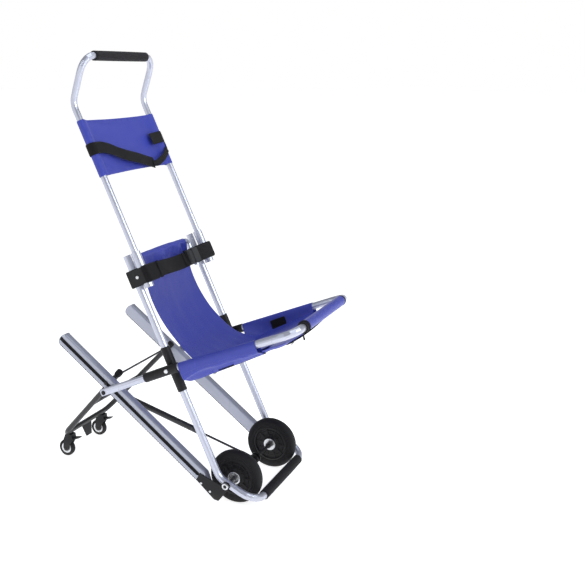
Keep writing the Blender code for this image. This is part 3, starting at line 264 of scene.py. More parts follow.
def moulded_black(name="moulded black", low=(0.0045, 0.0045, 0.0055), high=(0.013, 0.0125, 0.0145)):
    """Moulded nylon: fine spark grain, greyer patches and pale scuffs."""
    made, tree, shader = surface(name, Specular_IOR_Level=0.26)
    grain = use_group(tree, GRAIN, Fineness=1700.0, Patches=22.0)
    rubs = use_group(tree, RUBBING, Scratches=0.35, Dust_Height=0.06)
    tone = blend_colour(tree, grain["Patch"], low, high)
    scuffed = blend_colour(tree, rubs["Scratch"], tone, (0.07, 0.07, 0.075))
    dusty = blend_colour(tree, rubs["Dust"], scuffed, (0.075, 0.070, 0.062))
    tree.links.new(dusty, shader.inputs["Base Color"])
    tree.links.new(spread(tree, grain["Patch"], 0.34, 0.58), shader.inputs["Roughness"])
    raise_bump(tree, shader, grain["Height"], 0.00018)
    return made


def black_rubber():
    """Rubber: matt and slightly grey, paler with dust where it meets the floor."""
    made, tree, shader = surface("black rubber", Specular_IOR_Level=0.24, Sheen_Weight=0.02)
    grain = use_group(tree, GRAIN, Fineness=900.0, Patches=26.0)
    rubs = use_group(tree, RUBBING, Scratches=0.30, Dust_Height=0.05)
    tone = blend_colour(tree, grain["Patch"], (0.0045, 0.0045, 0.0055), (0.012, 0.0115, 0.0135))
    scuffed = blend_colour(tree, rubs["Scratch"], tone, (0.032, 0.031, 0.031))
    dusty = blend_colour(tree, rubs["Dust"], scuffed, (0.060, 0.056, 0.051))
    tree.links.new(dusty, shader.inputs["Base Color"])
    tree.links.new(spread(tree, grain["Patch"], 0.55, 0.80), shader.inputs["Roughness"])
    raise_bump(tree, shader, grain["Height"], 0.00025)
    return made


def mesh_piece(name, mesh, material, smooth=True, angle=40.0):
    """Object at the origin from a bmesh built in place."""
    bmesh.ops.recalc_face_normals(mesh, faces=mesh.faces)
    data = bpy.data.meshes.new(name)
    mesh.to_mesh(data)
    mesh.free()
    if smooth:
        data.shade_smooth()
        data.set_sharp_from_angle(angle=math.radians(angle))
    data.materials.append(material)
    piece = bpy.data.objects.new(name, data)
    bpy.context.scene.collection.objects.link(piece)
    return piece


def fit_on(piece, body, slot, *replaced):
    """The piece moves with a body and may stand for CAD nodes, which it hides; slot is not used."""
    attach(piece, body)
    if replaced:
        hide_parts(*replaced)
    return piece


def slab(outline, thickness):
    """Bmesh of a flat outline pushed out by a thickness vector."""
    mesh = bmesh.new()
    near = [mesh.verts.new(point) for point in outline]
    far = [mesh.verts.new(point + thickness) for point in outline]
    mesh.faces.new(near)
    mesh.faces.new(list(reversed(far)))
    for index, vert in enumerate(near):
        following = (index + 1) % len(near)
        mesh.faces.new((vert, far[index], far[following], near[following]))
    return mesh


def bevelled(mesh, width, segments=2):
    edges = [edge for edge in mesh.edges if edge.calc_face_angle(0.0) > 0.6]
    bmesh.ops.bevel(mesh, geom=edges, offset=width, segments=segments, affect="EDGES")
    return mesh


def plate(name, outline, push, edge, material, segments=2):
    """Piece cut to a flat outline, pushed out by a vector, with rounded edges."""
    return mesh_piece(name, bevelled(slab(outline, push), edge, segments), material)


def run_tree(name, shape, **size):
    """Pieces set evenly along a line, each turned along it and lifted off the surface."""
    tree = bpy.data.node_groups.new(name, "GeometryNodeTree")
    sockets = tree.interface
    sockets.new_socket("Line", in_out="INPUT", socket_type="NodeSocketGeometry")
    for label in ("Pitch", "Length", "Width", "Height"):
        sockets.new_socket(label, in_out="INPUT", socket_type="NodeSocketFloat")
    sockets.new_socket("Finish", in_out="INPUT", socket_type="NodeSocketMaterial")
    sockets.new_socket("Pieces", in_out="OUTPUT", socket_type="NodeSocketGeometry")
    given = tree.nodes.new("NodeGroupInput").outputs
    curve = node(tree, "GeometryNodeMeshToCurve", {"Mesh": given["Line"]}).outputs[0]
    places = node(
        tree, "GeometryNodeCurveToPoints", {"Curve": curve, "Length": given["Pitch"]},
        mode="LENGTH",
    )
    outward = node(
        tree, "GeometryNodeInputNamedAttribute", {"Name": "outward"}, data_type="FLOAT_VECTOR",
    )
    turn = node(
        tree, "FunctionNodeAlignRotationToVector", {"Vector": places.outputs["Tangent"]}, axis="X",
    )
    feeds = {"Rotation": turn.outputs[0], "Vector": outward.outputs["Attribute"]}
    lifted = node(tree, "FunctionNodeAlignRotationToVector", feeds, axis="Z", pivot_axis="X")
    part = node(tree, shape, size).outputs["Mesh"]
    smooth = node(tree, "GeometryNodeSetShadeSmooth", {"Geometry": part}).outputs[0]
    feeds = {"X": given["Length"], "Y": given["Width"], "Z": given["Height"]}
    scale = node(tree, "ShaderNodeCombineXYZ", feeds).outputs[0]
    feeds = {
        "Points": places.outputs["Points"], "Instance": smooth, "Rotation": lifted.outputs[0],
        "Scale": scale,
    }
    placed = node(tree, "GeometryNodeInstanceOnPoints", feeds).outputs[0]
    real = node(tree, "GeometryNodeRealizeInstances", {"Geometry": placed}).outputs[0]
    painted = node(tree, "GeometryNodeSetMaterial", {"Geometry": real, "Material": given["Finish"]})
    tree.links.new(painted.outputs[0], tree.nodes.new("NodeGroupOutput").inputs["Pieces"])
    return tree


TEETH = run_tree("belt teeth", "GeometryNodeMeshCube", Size=(1.0, 1.0, 1.0))


def lay_run(name, tree, lines, pitch, size, material):
    """One mesh of the tree's pieces along lines of (point, outward) pairs."""
    data = bpy.data.meshes.new(name)
    points = [point for line in lines for point, _ in line]
    edges = []
    start = 0
    for line in lines:
        edges += [(start + step, start + step + 1) for step in range(len(line) - 1)]
        start += len(line)
    data.from_pydata(points, edges, [])
    outward = data.attributes.new("outward", "FLOAT_VECTOR", "POINT")
    flat = [value for line in lines for _, direction in line for value in direction]
    outward.data.foreach_set("vector", flat)
    source = bpy.data.objects.new(name + "_lines", data)
    bpy.context.scene.collection.objects.link(source)
    modifier = source.modifiers.new("run", "NODES")
    modifier.node_group = tree
    values = {
        "Pitch": pitch, "Length": size[0], "Width": size[1], "Height": size[2], "Finish": material,
    }
    for item in tree.interface.items_tree:
        if item.in_out == "INPUT" and item.name in values:
            modifier[item.identifier] = values[item.name]
    graph = bpy.context.evaluated_depsgraph_get()
    made = bpy.data.meshes.new_from_object(source.evaluated_get(graph))
    bpy.data.objects.remove(source)
    if not made.materials:
        made.materials.append(material)
    piece = bpy.data.objects.new(name, made)
    bpy.context.scene.collection.objects.link(piece)
    return piece


ALUMINIUM = drawn_aluminium()
MOULDED = moulded_black()
RUBBER = black_rubber()
repaint(ALUMINIUM, "stair_rail_right", "stair_rail_left")
repaint(RUBBER, "rail_liner_right", "rail_liner_left", "rail_belt_right", "rail_belt_left")
repaint(MOULDED, "rail_bracket_right", "rail_bracket_left")


SLOT_TRIM_HALF = 0.0065
SLOT_START = RAIL_START + 0.012


def rail_slot_trim(name, side):
    """Black edging pressed over the slot's lips along the rail's outer face."""
    face = side * (UPRIGHT_X + RAIL_WIDTH / 2.0 - 0.0004)
    for index, off in enumerate((-1.0, 1.0)):
        inner, outer = RAIL_OFFSET + off * 0.0030, RAIL_OFFSET + off * SLOT_TRIM_HALF
        low, high = SLOT_START, RAIL_TOP - 0.002
        ends = [(low, inner), (high, inner), (high, outer), (low, outer)]
        outline = [rail_at(face, along, level) for along, level in ends]
        edging = plate(f"slot_trim_{index}_{name}", outline, ACROSS * side * 0.0012, 0.0004, RUBBER)
        fit_on(edging, "rails", "black_rubber")


def rail_nose(name, side):
    """Round plug that closes the rail's upper end, with a black strip carried over it."""
    half = RAIL_WIDTH / 2.0 - 0.0006
    radius = RAIL_DEPTH / 2.0 - 0.0006
    turns = [math.radians(-90.0 + 180.0 * step / 20.0) for step in range(21)]
    arc = [
        (RAIL_TOP + 0.55 * radius * math.cos(turn), RAIL_OFFSET + radius * math.sin(turn))
        for turn in turns
    ]
    outline = [rail_at(side * (UPRIGHT_X - half), along, off) for along, off in arc]
    nose = plate(f"rail_nose_{name}", outline, ACROSS * side * 2.0 * half, 0.004, ALUMINIUM, 3)
    fit_on(nose, "rails", "silver_tube")
    outer = side * (UPRIGHT_X + half - 0.0035)
    low, high = RAIL_TOP - 0.004, RAIL_TOP + 0.55 * radius - 0.003
    ends = [(low, -1.0), (high, -1.0), (high, 1.0), (low, 1.0)]
    outline = [rail_at(outer, along, RAIL_OFFSET + sign * SLOT_TRIM_HALF) for along, sign in ends]
    strip = plate(f"rail_strip_end_{name}", outline, ACROSS * side * 0.0044, 0.0008, RUBBER)
    fit_on(strip, "rails", "black_rubber")


def rail_belt_teeth(name, side):
    """Moulded cross teeth of the belt, 8 mm apart, that bite on a stair's edge."""
    off = RAIL_OFFSET + RAIL_DEPTH / 2.0 + 0.0003 + RAIL_BELT_THICK
    line = [
        (rail_at(side * UPRIGHT_X, along, off + 0.0004), RAIL_OFF)
        for along in (0.020, RAIL_TOP - 0.004)
    ]
    piece = lay_run(
        f"rail_belt_teeth_{name}", TEETH, [line], 0.008, (0.0034, RAIL_BELT_WIDTH, 0.0012), RUBBER,
    )
    fit_on(piece, "rails", "black_rubber")


def rail_lines(name, side):
    """Two raised lips left by the die, along the outer face on both sides of the slot."""
    face = side * (UPRIGHT_X + RAIL_WIDTH / 2.0)
    for index, off in enumerate((-0.0112, 0.0112)):
        low = rail_at(face, SLOT_START, RAIL_OFFSET + off - 0.0006)
        high = rail_at(face, RAIL_TOP - 0.003, RAIL_OFFSET + off - 0.0006)
        outline = [low, high, high + RAIL_OFF * 0.0012, low + RAIL_OFF * 0.0012]
        lip = mesh_piece(
            f"rail_lip_{index}_{name}", slab(outline, ACROSS * side * 0.0004), ALUMINIUM,
        )
        fit_on(lip, "rails", "silver_tube")


for side_name, side_sign in SIDES:
    rail_nose(side_name, side_sign)
    rail_slot_trim(side_name, side_sign)
    rail_belt_teeth(side_name, side_sign)
    rail_lines(side_name, side_sign)


# Fasteners: axle and its nuts, pivot bolts, clamp screws and the rivets of the rail brackets.
# Zinc plated steel, turned or headed. The rivets are set through each bracket into the rail,
# and a round eyelet shows where the axle comes through.

RIVET_PLACES = ((0.026, 0.0595), (0.065, 0.0605))
BRACKET_FACE = UPRIGHT_X + RAIL_WIDTH / 2.0 + 0.0003 + 0.0034
NUT_STAND = 0.0072


def bright_steel():
    """Zinc plate: bright, with fine turning lines, dull patches and a few dark pits."""
    made, tree, shader = surface("zinc plate", Metallic=0.92)
    grain = use_group(tree, GRAIN, Fineness=2200.0, Patches=60.0)
    rubs = use_group(tree, RUBBING, Scratches=0.8, Dust_Height=0.05)
    metal = blend_colour(tree, grain["Patch"], (0.52, 0.53, 0.55), (0.84, 0.85, 0.87))
    rubbed = blend_colour(tree, rubs["Scratch"], metal, (0.25, 0.24, 0.23))
    tree.links.new(rubbed, shader.inputs["Base Color"])
    tree.links.new(spread(tree, grain["Patch"], 0.16, 0.40), shader.inputs["Roughness"])
    raise_bump(tree, shader, grain["Height"], 0.00006)
    return made


def turned(mesh, profile, centre, axis, segments=48):
    """Adds a solid of revolution to a bmesh; profile is a closed loop of (radius, along)."""
    side = axis.orthogonal().normalized()
    lift = axis.cross(side)
    rings = []
    for radius, along in profile:
        place = centre + axis * along
        if radius == 0.0:
            rings.append([mesh.verts.new(place)] * segments)
            continue
        turns = [2.0 * math.pi * step / segments for step in range(segments)]
        rings.append([
            mesh.verts.new(place + radius * (side * math.cos(turn) + lift * math.sin(turn)))
            for turn in turns
        ])
    pairs = list(zip(rings, rings[1:]))
    if profile[0][0] > 0.0 and profile[-1][0] > 0.0:
        pairs.append((rings[-1], rings[0]))
    for first, second in pairs:
        for step in range(segments):
            following = (step + 1) % segments
            corners = [first[step], first[following], second[following], second[step]]
            unique = list(dict.fromkeys(corners))
            if len(unique) > 2:
                mesh.faces.new(unique)
    return mesh


def turned_piece(name, profile, centre, axis, material, segments=48):
    """Piece turned from one profile."""
    return mesh_piece(name, turned(bmesh.new(), profile, centre, axis, segments), material)


ZINC = bright_steel()
repaint(ZINC, "axle_nut_right", "axle_nut_left", "clamp_screw_right", "clamp_screw_left")
repaint(ZINC, "pivot_bolt_right", "pivot_bolt_left", "strut_bracket")


def bracket_rivets(name, side):
    mesh = bmesh.new()
    for along, off in RIVET_PLACES:
        dome = [
            (0.0, 0.0), (0.0042, 0.0), (0.0042, 0.0005), (0.0034, 0.0015), (0.0018, 0.0021),
            (0.0, 0.0023),
        ]
        turned(mesh, dome, rail_at(side * BRACKET_FACE, along, off), ACROSS * side, 20)
    fit_on(mesh_piece(f"bracket_rivets_{name}", mesh, ZINC), "rails", "bright_steel")


def axle_eyelet(name, side):
    """Rolled ring round the axle end, with a thin black disc in its bore: painted shade of the
    hollow axle end.
    """
    place = AXLE + ACROSS * side * (BRACKET_FACE + NUT_STAND)
    ring = [
        (0.0058, 0.0), (0.0104, 0.0), (0.0104, 0.0008), (0.0092, 0.0018), (0.0070, 0.0018),
        (0.0058, 0.0008),
    ]
    eyelet = turned_piece(f"axle_eyelet_{name}", ring, place, ACROSS * side, ZINC)
    fit_on(eyelet, "frame", "bright_steel")
    # Thin black disc over the ring's bore: painted shade where the hollow axle end would be dark.
    hole_shade_profile = [(0.0, 0.0), (0.0056, 0.0), (0.0056, 0.0006), (0.0, 0.0003)]
    socket = turned_piece(f"axle_hole_shade_{name}", hole_shade_profile, place, ACROSS * side, MOULDED)
    fit_on(socket, "frame", "black_plastic")


for side_name, side_sign in SIDES:
    bracket_rivets(side_name, side_sign)
    axle_eyelet(side_name, side_sign)


# Sleeves, clamp blocks, pins, clevis and pedal: moulded black nylon, pushed on the tubes and
# held by the bolts. The clamp blocks join upright, guide tube and back bar on each side.

repaint(MOULDED, "pivot_sleeve_right", "pivot_sleeve_left", "seat_sleeve_right", "seat_sleeve_left")
repaint(MOULDED, "clamp_block_right", "clamp_block_left", "leg_pin_right", "leg_pin_left")
repaint(MOULDED, "strut_clevis", "foot_pedal")
LEVER_EYE_BACK = 0.271
SEAT_X = 0.249
PIVOT = Vector(JOINTS["seat_fold"]["pos_m"])


def lever_bolts(name, side):
    """Black cap screw through the flattened eye at the end of each seat lever."""
    place = PIVOT + ACROSS * side * SEAT_X + LEAN_BACK * LEVER_EYE_BACK
    mesh = bmesh.new()
    head = [(0.0, 0.0044), (0.0075, 0.0044), (0.0075, 0.0066), (0.0062, 0.0078), (0.0, 0.0078)]
    turned(mesh, head, place, ACROSS * side, 28)
    tail = [(0.0, -0.0090), (0.0055, -0.0090), (0.0055, -0.0044), (0.0, -0.0044)]
    turned(mesh, tail, place, ACROSS * side, 28)
    fit_on(mesh_piece(f"lever_bolt_{name}", mesh, MOULDED), "seat", "black_plastic")


for side_name, side_sign in SIDES:
    lever_bolts(side_name, side_sign)


# Caster frame and gas strut: 19 mm steel tube and the strut's cylinder, powder coated black.
# Rubber caps close the leg tops. The strut's dark rod runs to the clevis on the axle.


def powder_black():
    """Satin powder coat: pebbled, with greyer rubs."""
    made, tree, shader = surface("black powder coat", Metallic=0.1, Coat_Weight=0.15)
    grain = use_group(tree, GRAIN, Fineness=1000.0, Patches=12.0)
    rubs = use_group(tree, RUBBING, Scratches=0.45, Dust_Height=0.12)
    tone = blend_colour(tree, grain["Patch"], (0.005, 0.005, 0.006), (0.014, 0.0135, 0.016))
    scuffed = blend_colour(tree, rubs["Scratch"], tone, (0.12, 0.12, 0.125))
    dusty = blend_colour(tree, rubs["Dust"], scuffed, (0.070, 0.066, 0.060))
    tree.links.new(dusty, shader.inputs["Base Color"])
    tree.links.new(spread(tree, grain["Patch"], 0.30, 0.48), shader.inputs["Roughness"])
    raise_bump(tree, shader, grain["Height"], 0.00020)
    return made


POWDER = powder_black()
repaint(POWDER, "caster_frame", "strut_cylinder", "wheel_axle", "strut_rod")
repaint(RUBBER, "leg_cap_right", "leg_cap_left")


# Main wheels: solid rubber tyres on moulded rims, 180 mm across, that turn on the axle.
# The tyre's walls carry moulded rings, and a bright pressed cup closes each hub.

WHEEL_X = 0.151
WHEEL_RADIUS = 0.090
TYRE_HALF = 0.019


def wheel_tyre(name, side):
    """Tyre with a round crown, shoulder steps and three rings moulded in each wall."""
    wall = []
    for radius, inset in (
        (0.0626, 0.0052), (0.0640, 0.0030), (0.0665, 0.0022), (0.0680, 0.0030), (0.0695, 0.0016),
        (0.0725, 0.0010), (0.0738, 0.0020), (0.0752, 0.0006), (0.0785, 0.0004), (0.0796, 0.0014),
        (0.0808, 0.0006), (0.0835, 0.0018), (0.0862, 0.0045), (0.0884, 0.0085), (0.0895, 0.0130),
    ):
        wall.append((radius, TYRE_HALF - inset))
    profile = wall + [(WHEEL_RADIUS - 0.0002, 0.0)] + [
        (radius, -along)
        for radius, along in reversed(wall)
    ]
    tyre = turned_piece(f"tyre_{name}", profile, AXLE + ACROSS * side * WHEEL_X, ACROSS, RUBBER, 96)
    fit_on(tyre, f"wheel_{name}", "black_rubber", f"wheel_tyre_{name}")


def wheel_rim(name, side):
    """Moulded rim: bead, dished web with ring steps, and hub barrel on both faces."""
    face = [
        (0.0622, 0.0150), (0.0600, 0.0158), (0.0570, 0.0150), (0.0556, 0.0112), (0.0540, 0.0086),
        (0.0480, 0.0076), (0.0468, 0.0090), (0.0440, 0.0090), (0.0428, 0.0076), (0.0330, 0.0070),
        (0.0316, 0.0088), (0.0270, 0.0094), (0.0240, 0.0120), (0.0200, 0.0190), (0.0172, 0.0205),
        (0.0068, 0.0205),
    ]
    profile = face + [(radius, -along) for radius, along in reversed(face)]
    centre = AXLE + ACROSS * side * WHEEL_X
    rim = turned_piece(f"rim_{name}", profile, centre, ACROSS, MOULDED, 72)
    fit_on(rim, f"wheel_{name}", "black_plastic", f"wheel_rim_{name}")
    ribs = bmesh.new()
    for step in range(10):
        turn = 2.0 * math.pi * step / 10.0
        spoke = Vector((0.0, math.cos(turn), math.sin(turn)))
        flank = ACROSS.cross(spoke) * 0.0022
        for facing in (-1.0, 1.0):
            foot = centre + ACROSS * facing * 0.0072
            inner, outer = foot + spoke * 0.0255, foot + spoke * 0.0545
            outline = [inner - flank, outer - flank, outer + flank, inner + flank]
            rib = slab(outline, ACROSS * facing * 0.0030)
            data = bpy.data.meshes.new("rib")
            bevelled(rib, 0.0008).to_mesh(data)
            rib.free()
            ribs.from_mesh(data)
            bpy.data.meshes.remove(data)
    fit_on(mesh_piece(f"rim_ribs_{name}", ribs, MOULDED), f"wheel_{name}", "black_plastic")
    for facing in (-1.0, 1.0):
        cup = [
            (0.0072, 0.0), (0.0212, 0.0), (0.0212, 0.0007), (0.0200, 0.0013), (0.0160, 0.0013),
            (0.0135, 0.0005), (0.0072, 0.0005),
        ]
        place = centre + ACROSS * facing * 0.0206
        label = "outer" if facing == side else "inner"
        hub_cup = turned_piece(f"hub_cup_{label}_{name}", cup, place, ACROSS * facing, ZINC)
        fit_on(hub_cup, f"wheel_{name}", "bright_steel")


for side_name, side_sign in SIDES:
    wheel_tyre(side_name, side_sign)
    wheel_rim(side_name, side_sign)


# Casters: moulded forks swivel under the frame's lower bar, with rubber-rimmed wheels,
# a bright pressed ring in each wheel face and a toe lever for the brake.

CASTER_RADIUS = 0.031
repaint(MOULDED, "caster_fork_right", "caster_fork_left", "brake_lever_right", "brake_lever_left")


def caster_wheel(name):
    hub = Vector(JOINTS[f"caster_spin_{name}"]["pos_m"])
    wall = [
        (0.0044, 0.0090), (0.0078, 0.0090), (0.0088, 0.0078), (0.0120, 0.0066), (0.0205, 0.0064),
        (0.0215, 0.0088), (0.0250, 0.0094), (0.0285, 0.0088), (0.0302, 0.0070), (0.0308, 0.0040),
    ]
    profile = wall + [(CASTER_RADIUS, 0.0)] + [(radius, -along) for radius, along in reversed(wall)]
    wheel = turned_piece(f"caster_{name}_tyre", profile, hub, ACROSS, RUBBER, 64)
    fit_on(wheel, f"caster_{name}", "black_rubber", f"caster_wheel_{name}")
    for label, facing in SIDES:
        ring = [
            (0.0125, 0.0066), (0.0200, 0.0066), (0.0200, 0.0080), (0.0190, 0.0086),
            (0.0140, 0.0078), (0.0125, 0.0070),
        ]
        piece = turned_piece(f"caster_{name}_ring_{label}", ring, hub, ACROSS * facing, ZINC, 56)
        fit_on(piece, f"caster_{name}", "bright_steel")


for side_name, _ in SIDES:
    caster_wheel(side_name)


# Foam grips on the handle's cross bar and on the foot bar: closed-cell black foam sleeves,
# pushed on wet, slightly barrelled, with skinned pores and rounded ends.

HANDLE_GRIP = at(0.0, 1.4202, -0.1175)
FOOT_BAR = AXLE + Vector((0.0, -0.099, -0.045))


def foam_black():
    """Skinned foam: open pores of two sizes and a soft bloom."""
    made, tree, shader = surface(
        "black foam", Specular_IOR_Level=0.15, Sheen_Weight=0.05, Sheen_Roughness=0.5,
    )
    place = node(tree, "ShaderNodeTexCoord").outputs["Object"]
    pores = node(
        tree, "ShaderNodeTexVoronoi", {"Vector": place, "Scale": 620.0},
    ).outputs["Distance"]
    grain = use_group(tree, GRAIN, Fineness=1500.0, Patches=30.0)
    tone = blend_colour(tree, pores, (0.005, 0.005, 0.006), (0.022, 0.021, 0.025))
    worn = blend_colour(tree, grain["Patch"], tone, (0.014, 0.0135, 0.016))
    tree.links.new(worn, shader.inputs["Base Color"])
    tree.links.new(spread(tree, grain["Patch"], 0.72, 0.95), shader.inputs["Roughness"])
    raise_bump(tree, shader, math_node(tree, "ADD", pores, grain["Height"]), 0.0004)
    return made


FOAM = foam_black()


def foam_grip(name, centre, half, bore, outer, body, replaced):
    barrel = []
    for step in range(25):
        share = -1.0 + step / 12.0
        swell = 0.0004 * (1.0 - share * share) + 0.00015 * noise.noise(Vector((
            share * 9.0, outer * 900.0, 0.0,
        )))
        barrel.append((outer + swell, share * (half - 0.0022)))
    profile = [
        (bore, -half), (outer - 0.0018, -half),
    ] + barrel + [(outer - 0.0018, half), (bore, half)]
    grip = turned_piece(name, profile, centre, ACROSS, FOAM)
    fit_on(grip, body, "black_foam", replaced)


foam_grip(
    "handle_foam", HANDLE_GRIP, 0.162, HANDLE_TUBE_RADIUS + 0.0003, 0.0155, "handle", "handle_grip",
)
foam_grip("foot_foam", FOOT_BAR, 0.155, 0.0128, 0.0161, "frame", "foot_grip")


# Blue cloth, common to back, seat, pouch, front roll and head panel: nylon with a soft
# polyurethane coat, cut flat, hemmed, and sewn with matching thread. It creases and shines.

CLOTH_THICK = 0.0012
STITCH_LIFT = 0.00077
STITCH_PITCH = 0.0034
STITCH_SIZE = (0.0024, 0.0007, 0.0006)


def weave_group():
    """Plain weave on a cloth's own UV map, which is in metres."""
    tree, inputs, outputs = shader_group("plain weave", {"Thread": 0.0009}, ("Height", "Slub"))
    cloth = node(tree, "ShaderNodeUVMap", uv_map="cloth").outputs[0]
    parts = node(tree, "ShaderNodeSeparateXYZ", {"Vector": cloth}).outputs
    turns = math_node(tree, "DIVIDE", 2.0 * math.pi, inputs["Thread"])
    warp = math_node(tree, "SINE", math_node(tree, "MULTIPLY", parts["X"], turns))
    weft = math_node(tree, "SINE", math_node(tree, "MULTIPLY", parts["Y"], turns))
    crossed = math_node(tree, "MULTIPLY", warp, weft)
    height = node(tree, "ShaderNodeMapRange", {"Value": crossed, "From Min": -1.0})
    tree.links.new(height.outputs[0], outputs["Height"])
    stretch = node(
        tree, "ShaderNodeMapping", {"Vector": cloth, "Scale": (35.0, 420.0, 1.0)},
    ).outputs[0]
    slub = node(tree, "ShaderNodeTexNoise", {"Vector": stretch, "Scale": 1.0, "Detail": 3.0})
    tree.links.new(slub.outputs[0], outputs["Slub"])
    return tree


WEAVE = weave_group()


def coated_nylon():
    """Coated blue nylon: weave shows faintly, creases pale a little, the coat gives a low shine."""
    made, tree, shader = surface(
        "coated blue nylon", Coat_Weight=0.22, Coat_Roughness=0.30, Sheen_Weight=0.04,
        Sheen_Roughness=0.4,
    )
    shader.inputs["Sheen Tint"].default_value = (0.45, 0.50, 1.0, 1.0)
    weave = use_group(tree, WEAVE, Thread=0.0011)
    grain = use_group(tree, GRAIN, Fineness=260.0, Patches=11.0)
    rubs = use_group(tree, RUBBING, Scratches=0.4, Dust_Height=0.05)
    yarn = blend_colour(tree, weave["Slub"], (0.014, 0.026, 0.300), (0.030, 0.048, 0.420))
    shaded = blend_colour(tree, grain["Patch"], yarn, (0.022, 0.038, 0.370))
    creased = blend_colour(tree, rubs["Scratch"], shaded, (0.075, 0.100, 0.54))
    tree.links.new(creased, shader.inputs["Base Color"])
    tree.links.new(spread(tree, grain["Patch"], 0.36, 0.56), shader.inputs["Roughness"])
    wave = math_node(tree, "MULTIPLY", grain["Height"], 1.6)
    raise_bump(tree, shader, math_node(tree, "ADD", weave["Height"], wave), 0.00022)
    return made


def thread(name, low, high):
    """Sewing thread: twisted strands with a soft sheen."""
    made, tree, shader = surface(name, Roughness=0.6, Sheen_Weight=0.3)
    grain = use_group(tree, GRAIN, Fineness=2600.0, Patches=300.0)
    tree.links.new(blend_colour(tree, grain["Patch"], low, high), shader.inputs["Base Color"])
    raise_bump(tree, shader, grain["Height"], 0.0001)
    return made


NYLON = coated_nylon()
BLUE_THREAD = thread("blue thread", (0.055, 0.070, 0.36), (0.10, 0.12, 0.50))
STITCHES = run_tree("stitches", "GeometryNodeMeshUVSphere", Segments=6, Rings=4, Radius=0.5)


def through(knots, share):
    """Value on a smooth curve through evenly spaced knots; each knot is a tuple of numbers."""
    span = min(max(share, 0.0), 1.0) * (len(knots) - 1)
    index = min(int(span), len(knots) - 2)
    t = span - index
    before, first, second, after = (
        knots[min(max(index + step, 0), len(knots) - 1)]
        for step in (-1, 0, 1, 2)
    )
    values = []
    for a, b, c, d in zip(before, first, second, after):
        values.append(0.5 * (
            2.0 * b + (c - a) * t + (2.0 * a - 5.0 * b + 4.0 * c - d) * t * t
            + (3.0 * b - a - 3.0 * c + d) * t * t * t
        ))
    return values


def cloth_sheet(name, rows, thick, material, closed=False):
    """Cloth from rows of points, with a UV map in metres, a thickness and one subdivision."""
    mesh = bmesh.new()
    layer = mesh.loops.layers.uv.new("cloth")
    grid = [[mesh.verts.new(point) for point in row] for row in rows]
    middle = rows[len(rows) // 2]
    widths = [0.0]
    for before, after in zip(middle, middle[1:] + middle[:1]):
        widths.append(widths[-1] + (after - before).length)
    lengths = [0.0]
    for before, after in zip(rows, rows[1:]):
        lengths.append(lengths[-1] + (after[len(after) // 2] - before[len(before) // 2]).length)
    columns = len(middle) if closed else len(middle) - 1
    for row, (low, high) in enumerate(zip(grid, grid[1:])):
        for column in range(columns):
            following = (column + 1) % len(low)
            face = mesh.faces.new((low[column], low[following], high[following], high[column]))
            spots = ((column, row), (column + 1, row), (column + 1, row + 1), (column, row + 1))
            for loop, (u, v) in zip(face.loops, spots):
                loop[layer].uv = (widths[u], lengths[v])
    data = bpy.data.meshes.new(name)
    mesh.to_mesh(data)
    mesh.free()
    data.shade_smooth()
    data.materials.append(material)
    piece = bpy.data.objects.new(name, data)
    bpy.context.scene.collection.objects.link(piece)
    wall = piece.modifiers.new("thickness", "SOLIDIFY")
    wall.thickness = thick
    wall.offset = 0.0
    soften = piece.modifiers.new("soften", "SUBSURF")
    soften.levels = 1
    soften.render_levels = 1
    return piece, (widths[-1], lengths[-1])


def ripple(x, y, seed):
    """Slow uneven waves of about one, from two sizes of noise."""
    broad = noise.noise(Vector((x, y, seed)))
    return 0.7 * broad + 0.3 * noise.noise(Vector((x * 2.3, y * 2.3, seed + 7.0)))


def sew(name, lines, body, material=BLUE_THREAD, slot="blue_cloth"):
    """A run of stitches along each line, riding on one body."""
    piece = lay_run(name, STITCHES, lines, STITCH_PITCH, STITCH_SIZE, material)
    return fit_on(piece, body, slot)


# Back and seat sling: one panel that hangs from the back bar, runs down behind the waist belt
# and turns forward under the sitter, hemmed along both edges. It keeps one fixed bend where the
# seat meets the back.

SEAT_DROOP = math.radians(2.6)
PIVOT_UP = 0.4135
BACK_BAR_UP = 0.782
BACK_BAR_BACK = 0.020
BAR_WRAP = 0.0127


def seat_at(x, forward, drop=0.0):
    """Point in the seat's frame: forward of its pivot, and drop below the side tubes."""
    up = PIVOT_UP - forward * math.sin(SEAT_DROOP) - drop * math.cos(SEAT_DROOP)
    back = UPRIGHT_BACK - forward * math.cos(SEAT_DROOP) + drop * math.sin(SEAT_DROOP)
    return at(x, up, back)


def seat_bottom(forward):
    """Drop of the seat's cloth floor below the side tubes: deep at the rear, shallow in front."""
    return 0.0455 - 0.0200 * min(max((forward - 0.08) / 0.25, 0.0), 1.0)


def sling_knots():
    """Knots down the sling: middle up, middle back, edge up, edge back, half width."""
    knots = [
        (0.7810, 0.0073, 0.7810, 0.0073, 0.1520),
        (0.7440, 0.0205, 0.7440, 0.0195, 0.1530),
        (0.7000, 0.0350, 0.7000, 0.0320, 0.1550),
        (0.6450, 0.0420, 0.6450, 0.0370, 0.1570),
        (0.5900, 0.0420, 0.5910, 0.0340, 0.1590),
        (0.5350, 0.0330, 0.5370, 0.0235, 0.1610),
        (0.4850, 0.0160, 0.4890, 0.0070, 0.1640),
        (0.4370, -0.0090, 0.4430, -0.0130, 0.1690),
        (0.3960, -0.0420, 0.4050, -0.0390, 0.1800),
    ]
    for forward, half in (
        (0.108, 0.205), (0.150, 0.2255), (0.195, 0.2290), (0.240, 0.2290), (0.285, 0.2290),
        (0.330, 0.2290),
    ):
        knot = []
        for drop in (seat_bottom(forward) + 0.008, seat_bottom(forward) - 0.006):
            spot = seat_at(0.0, forward, drop) - AXLE
            knot += [spot.dot(LEAN_UP), spot.dot(LEAN_BACK)]
        knots.append((*knot, half))
    return knots


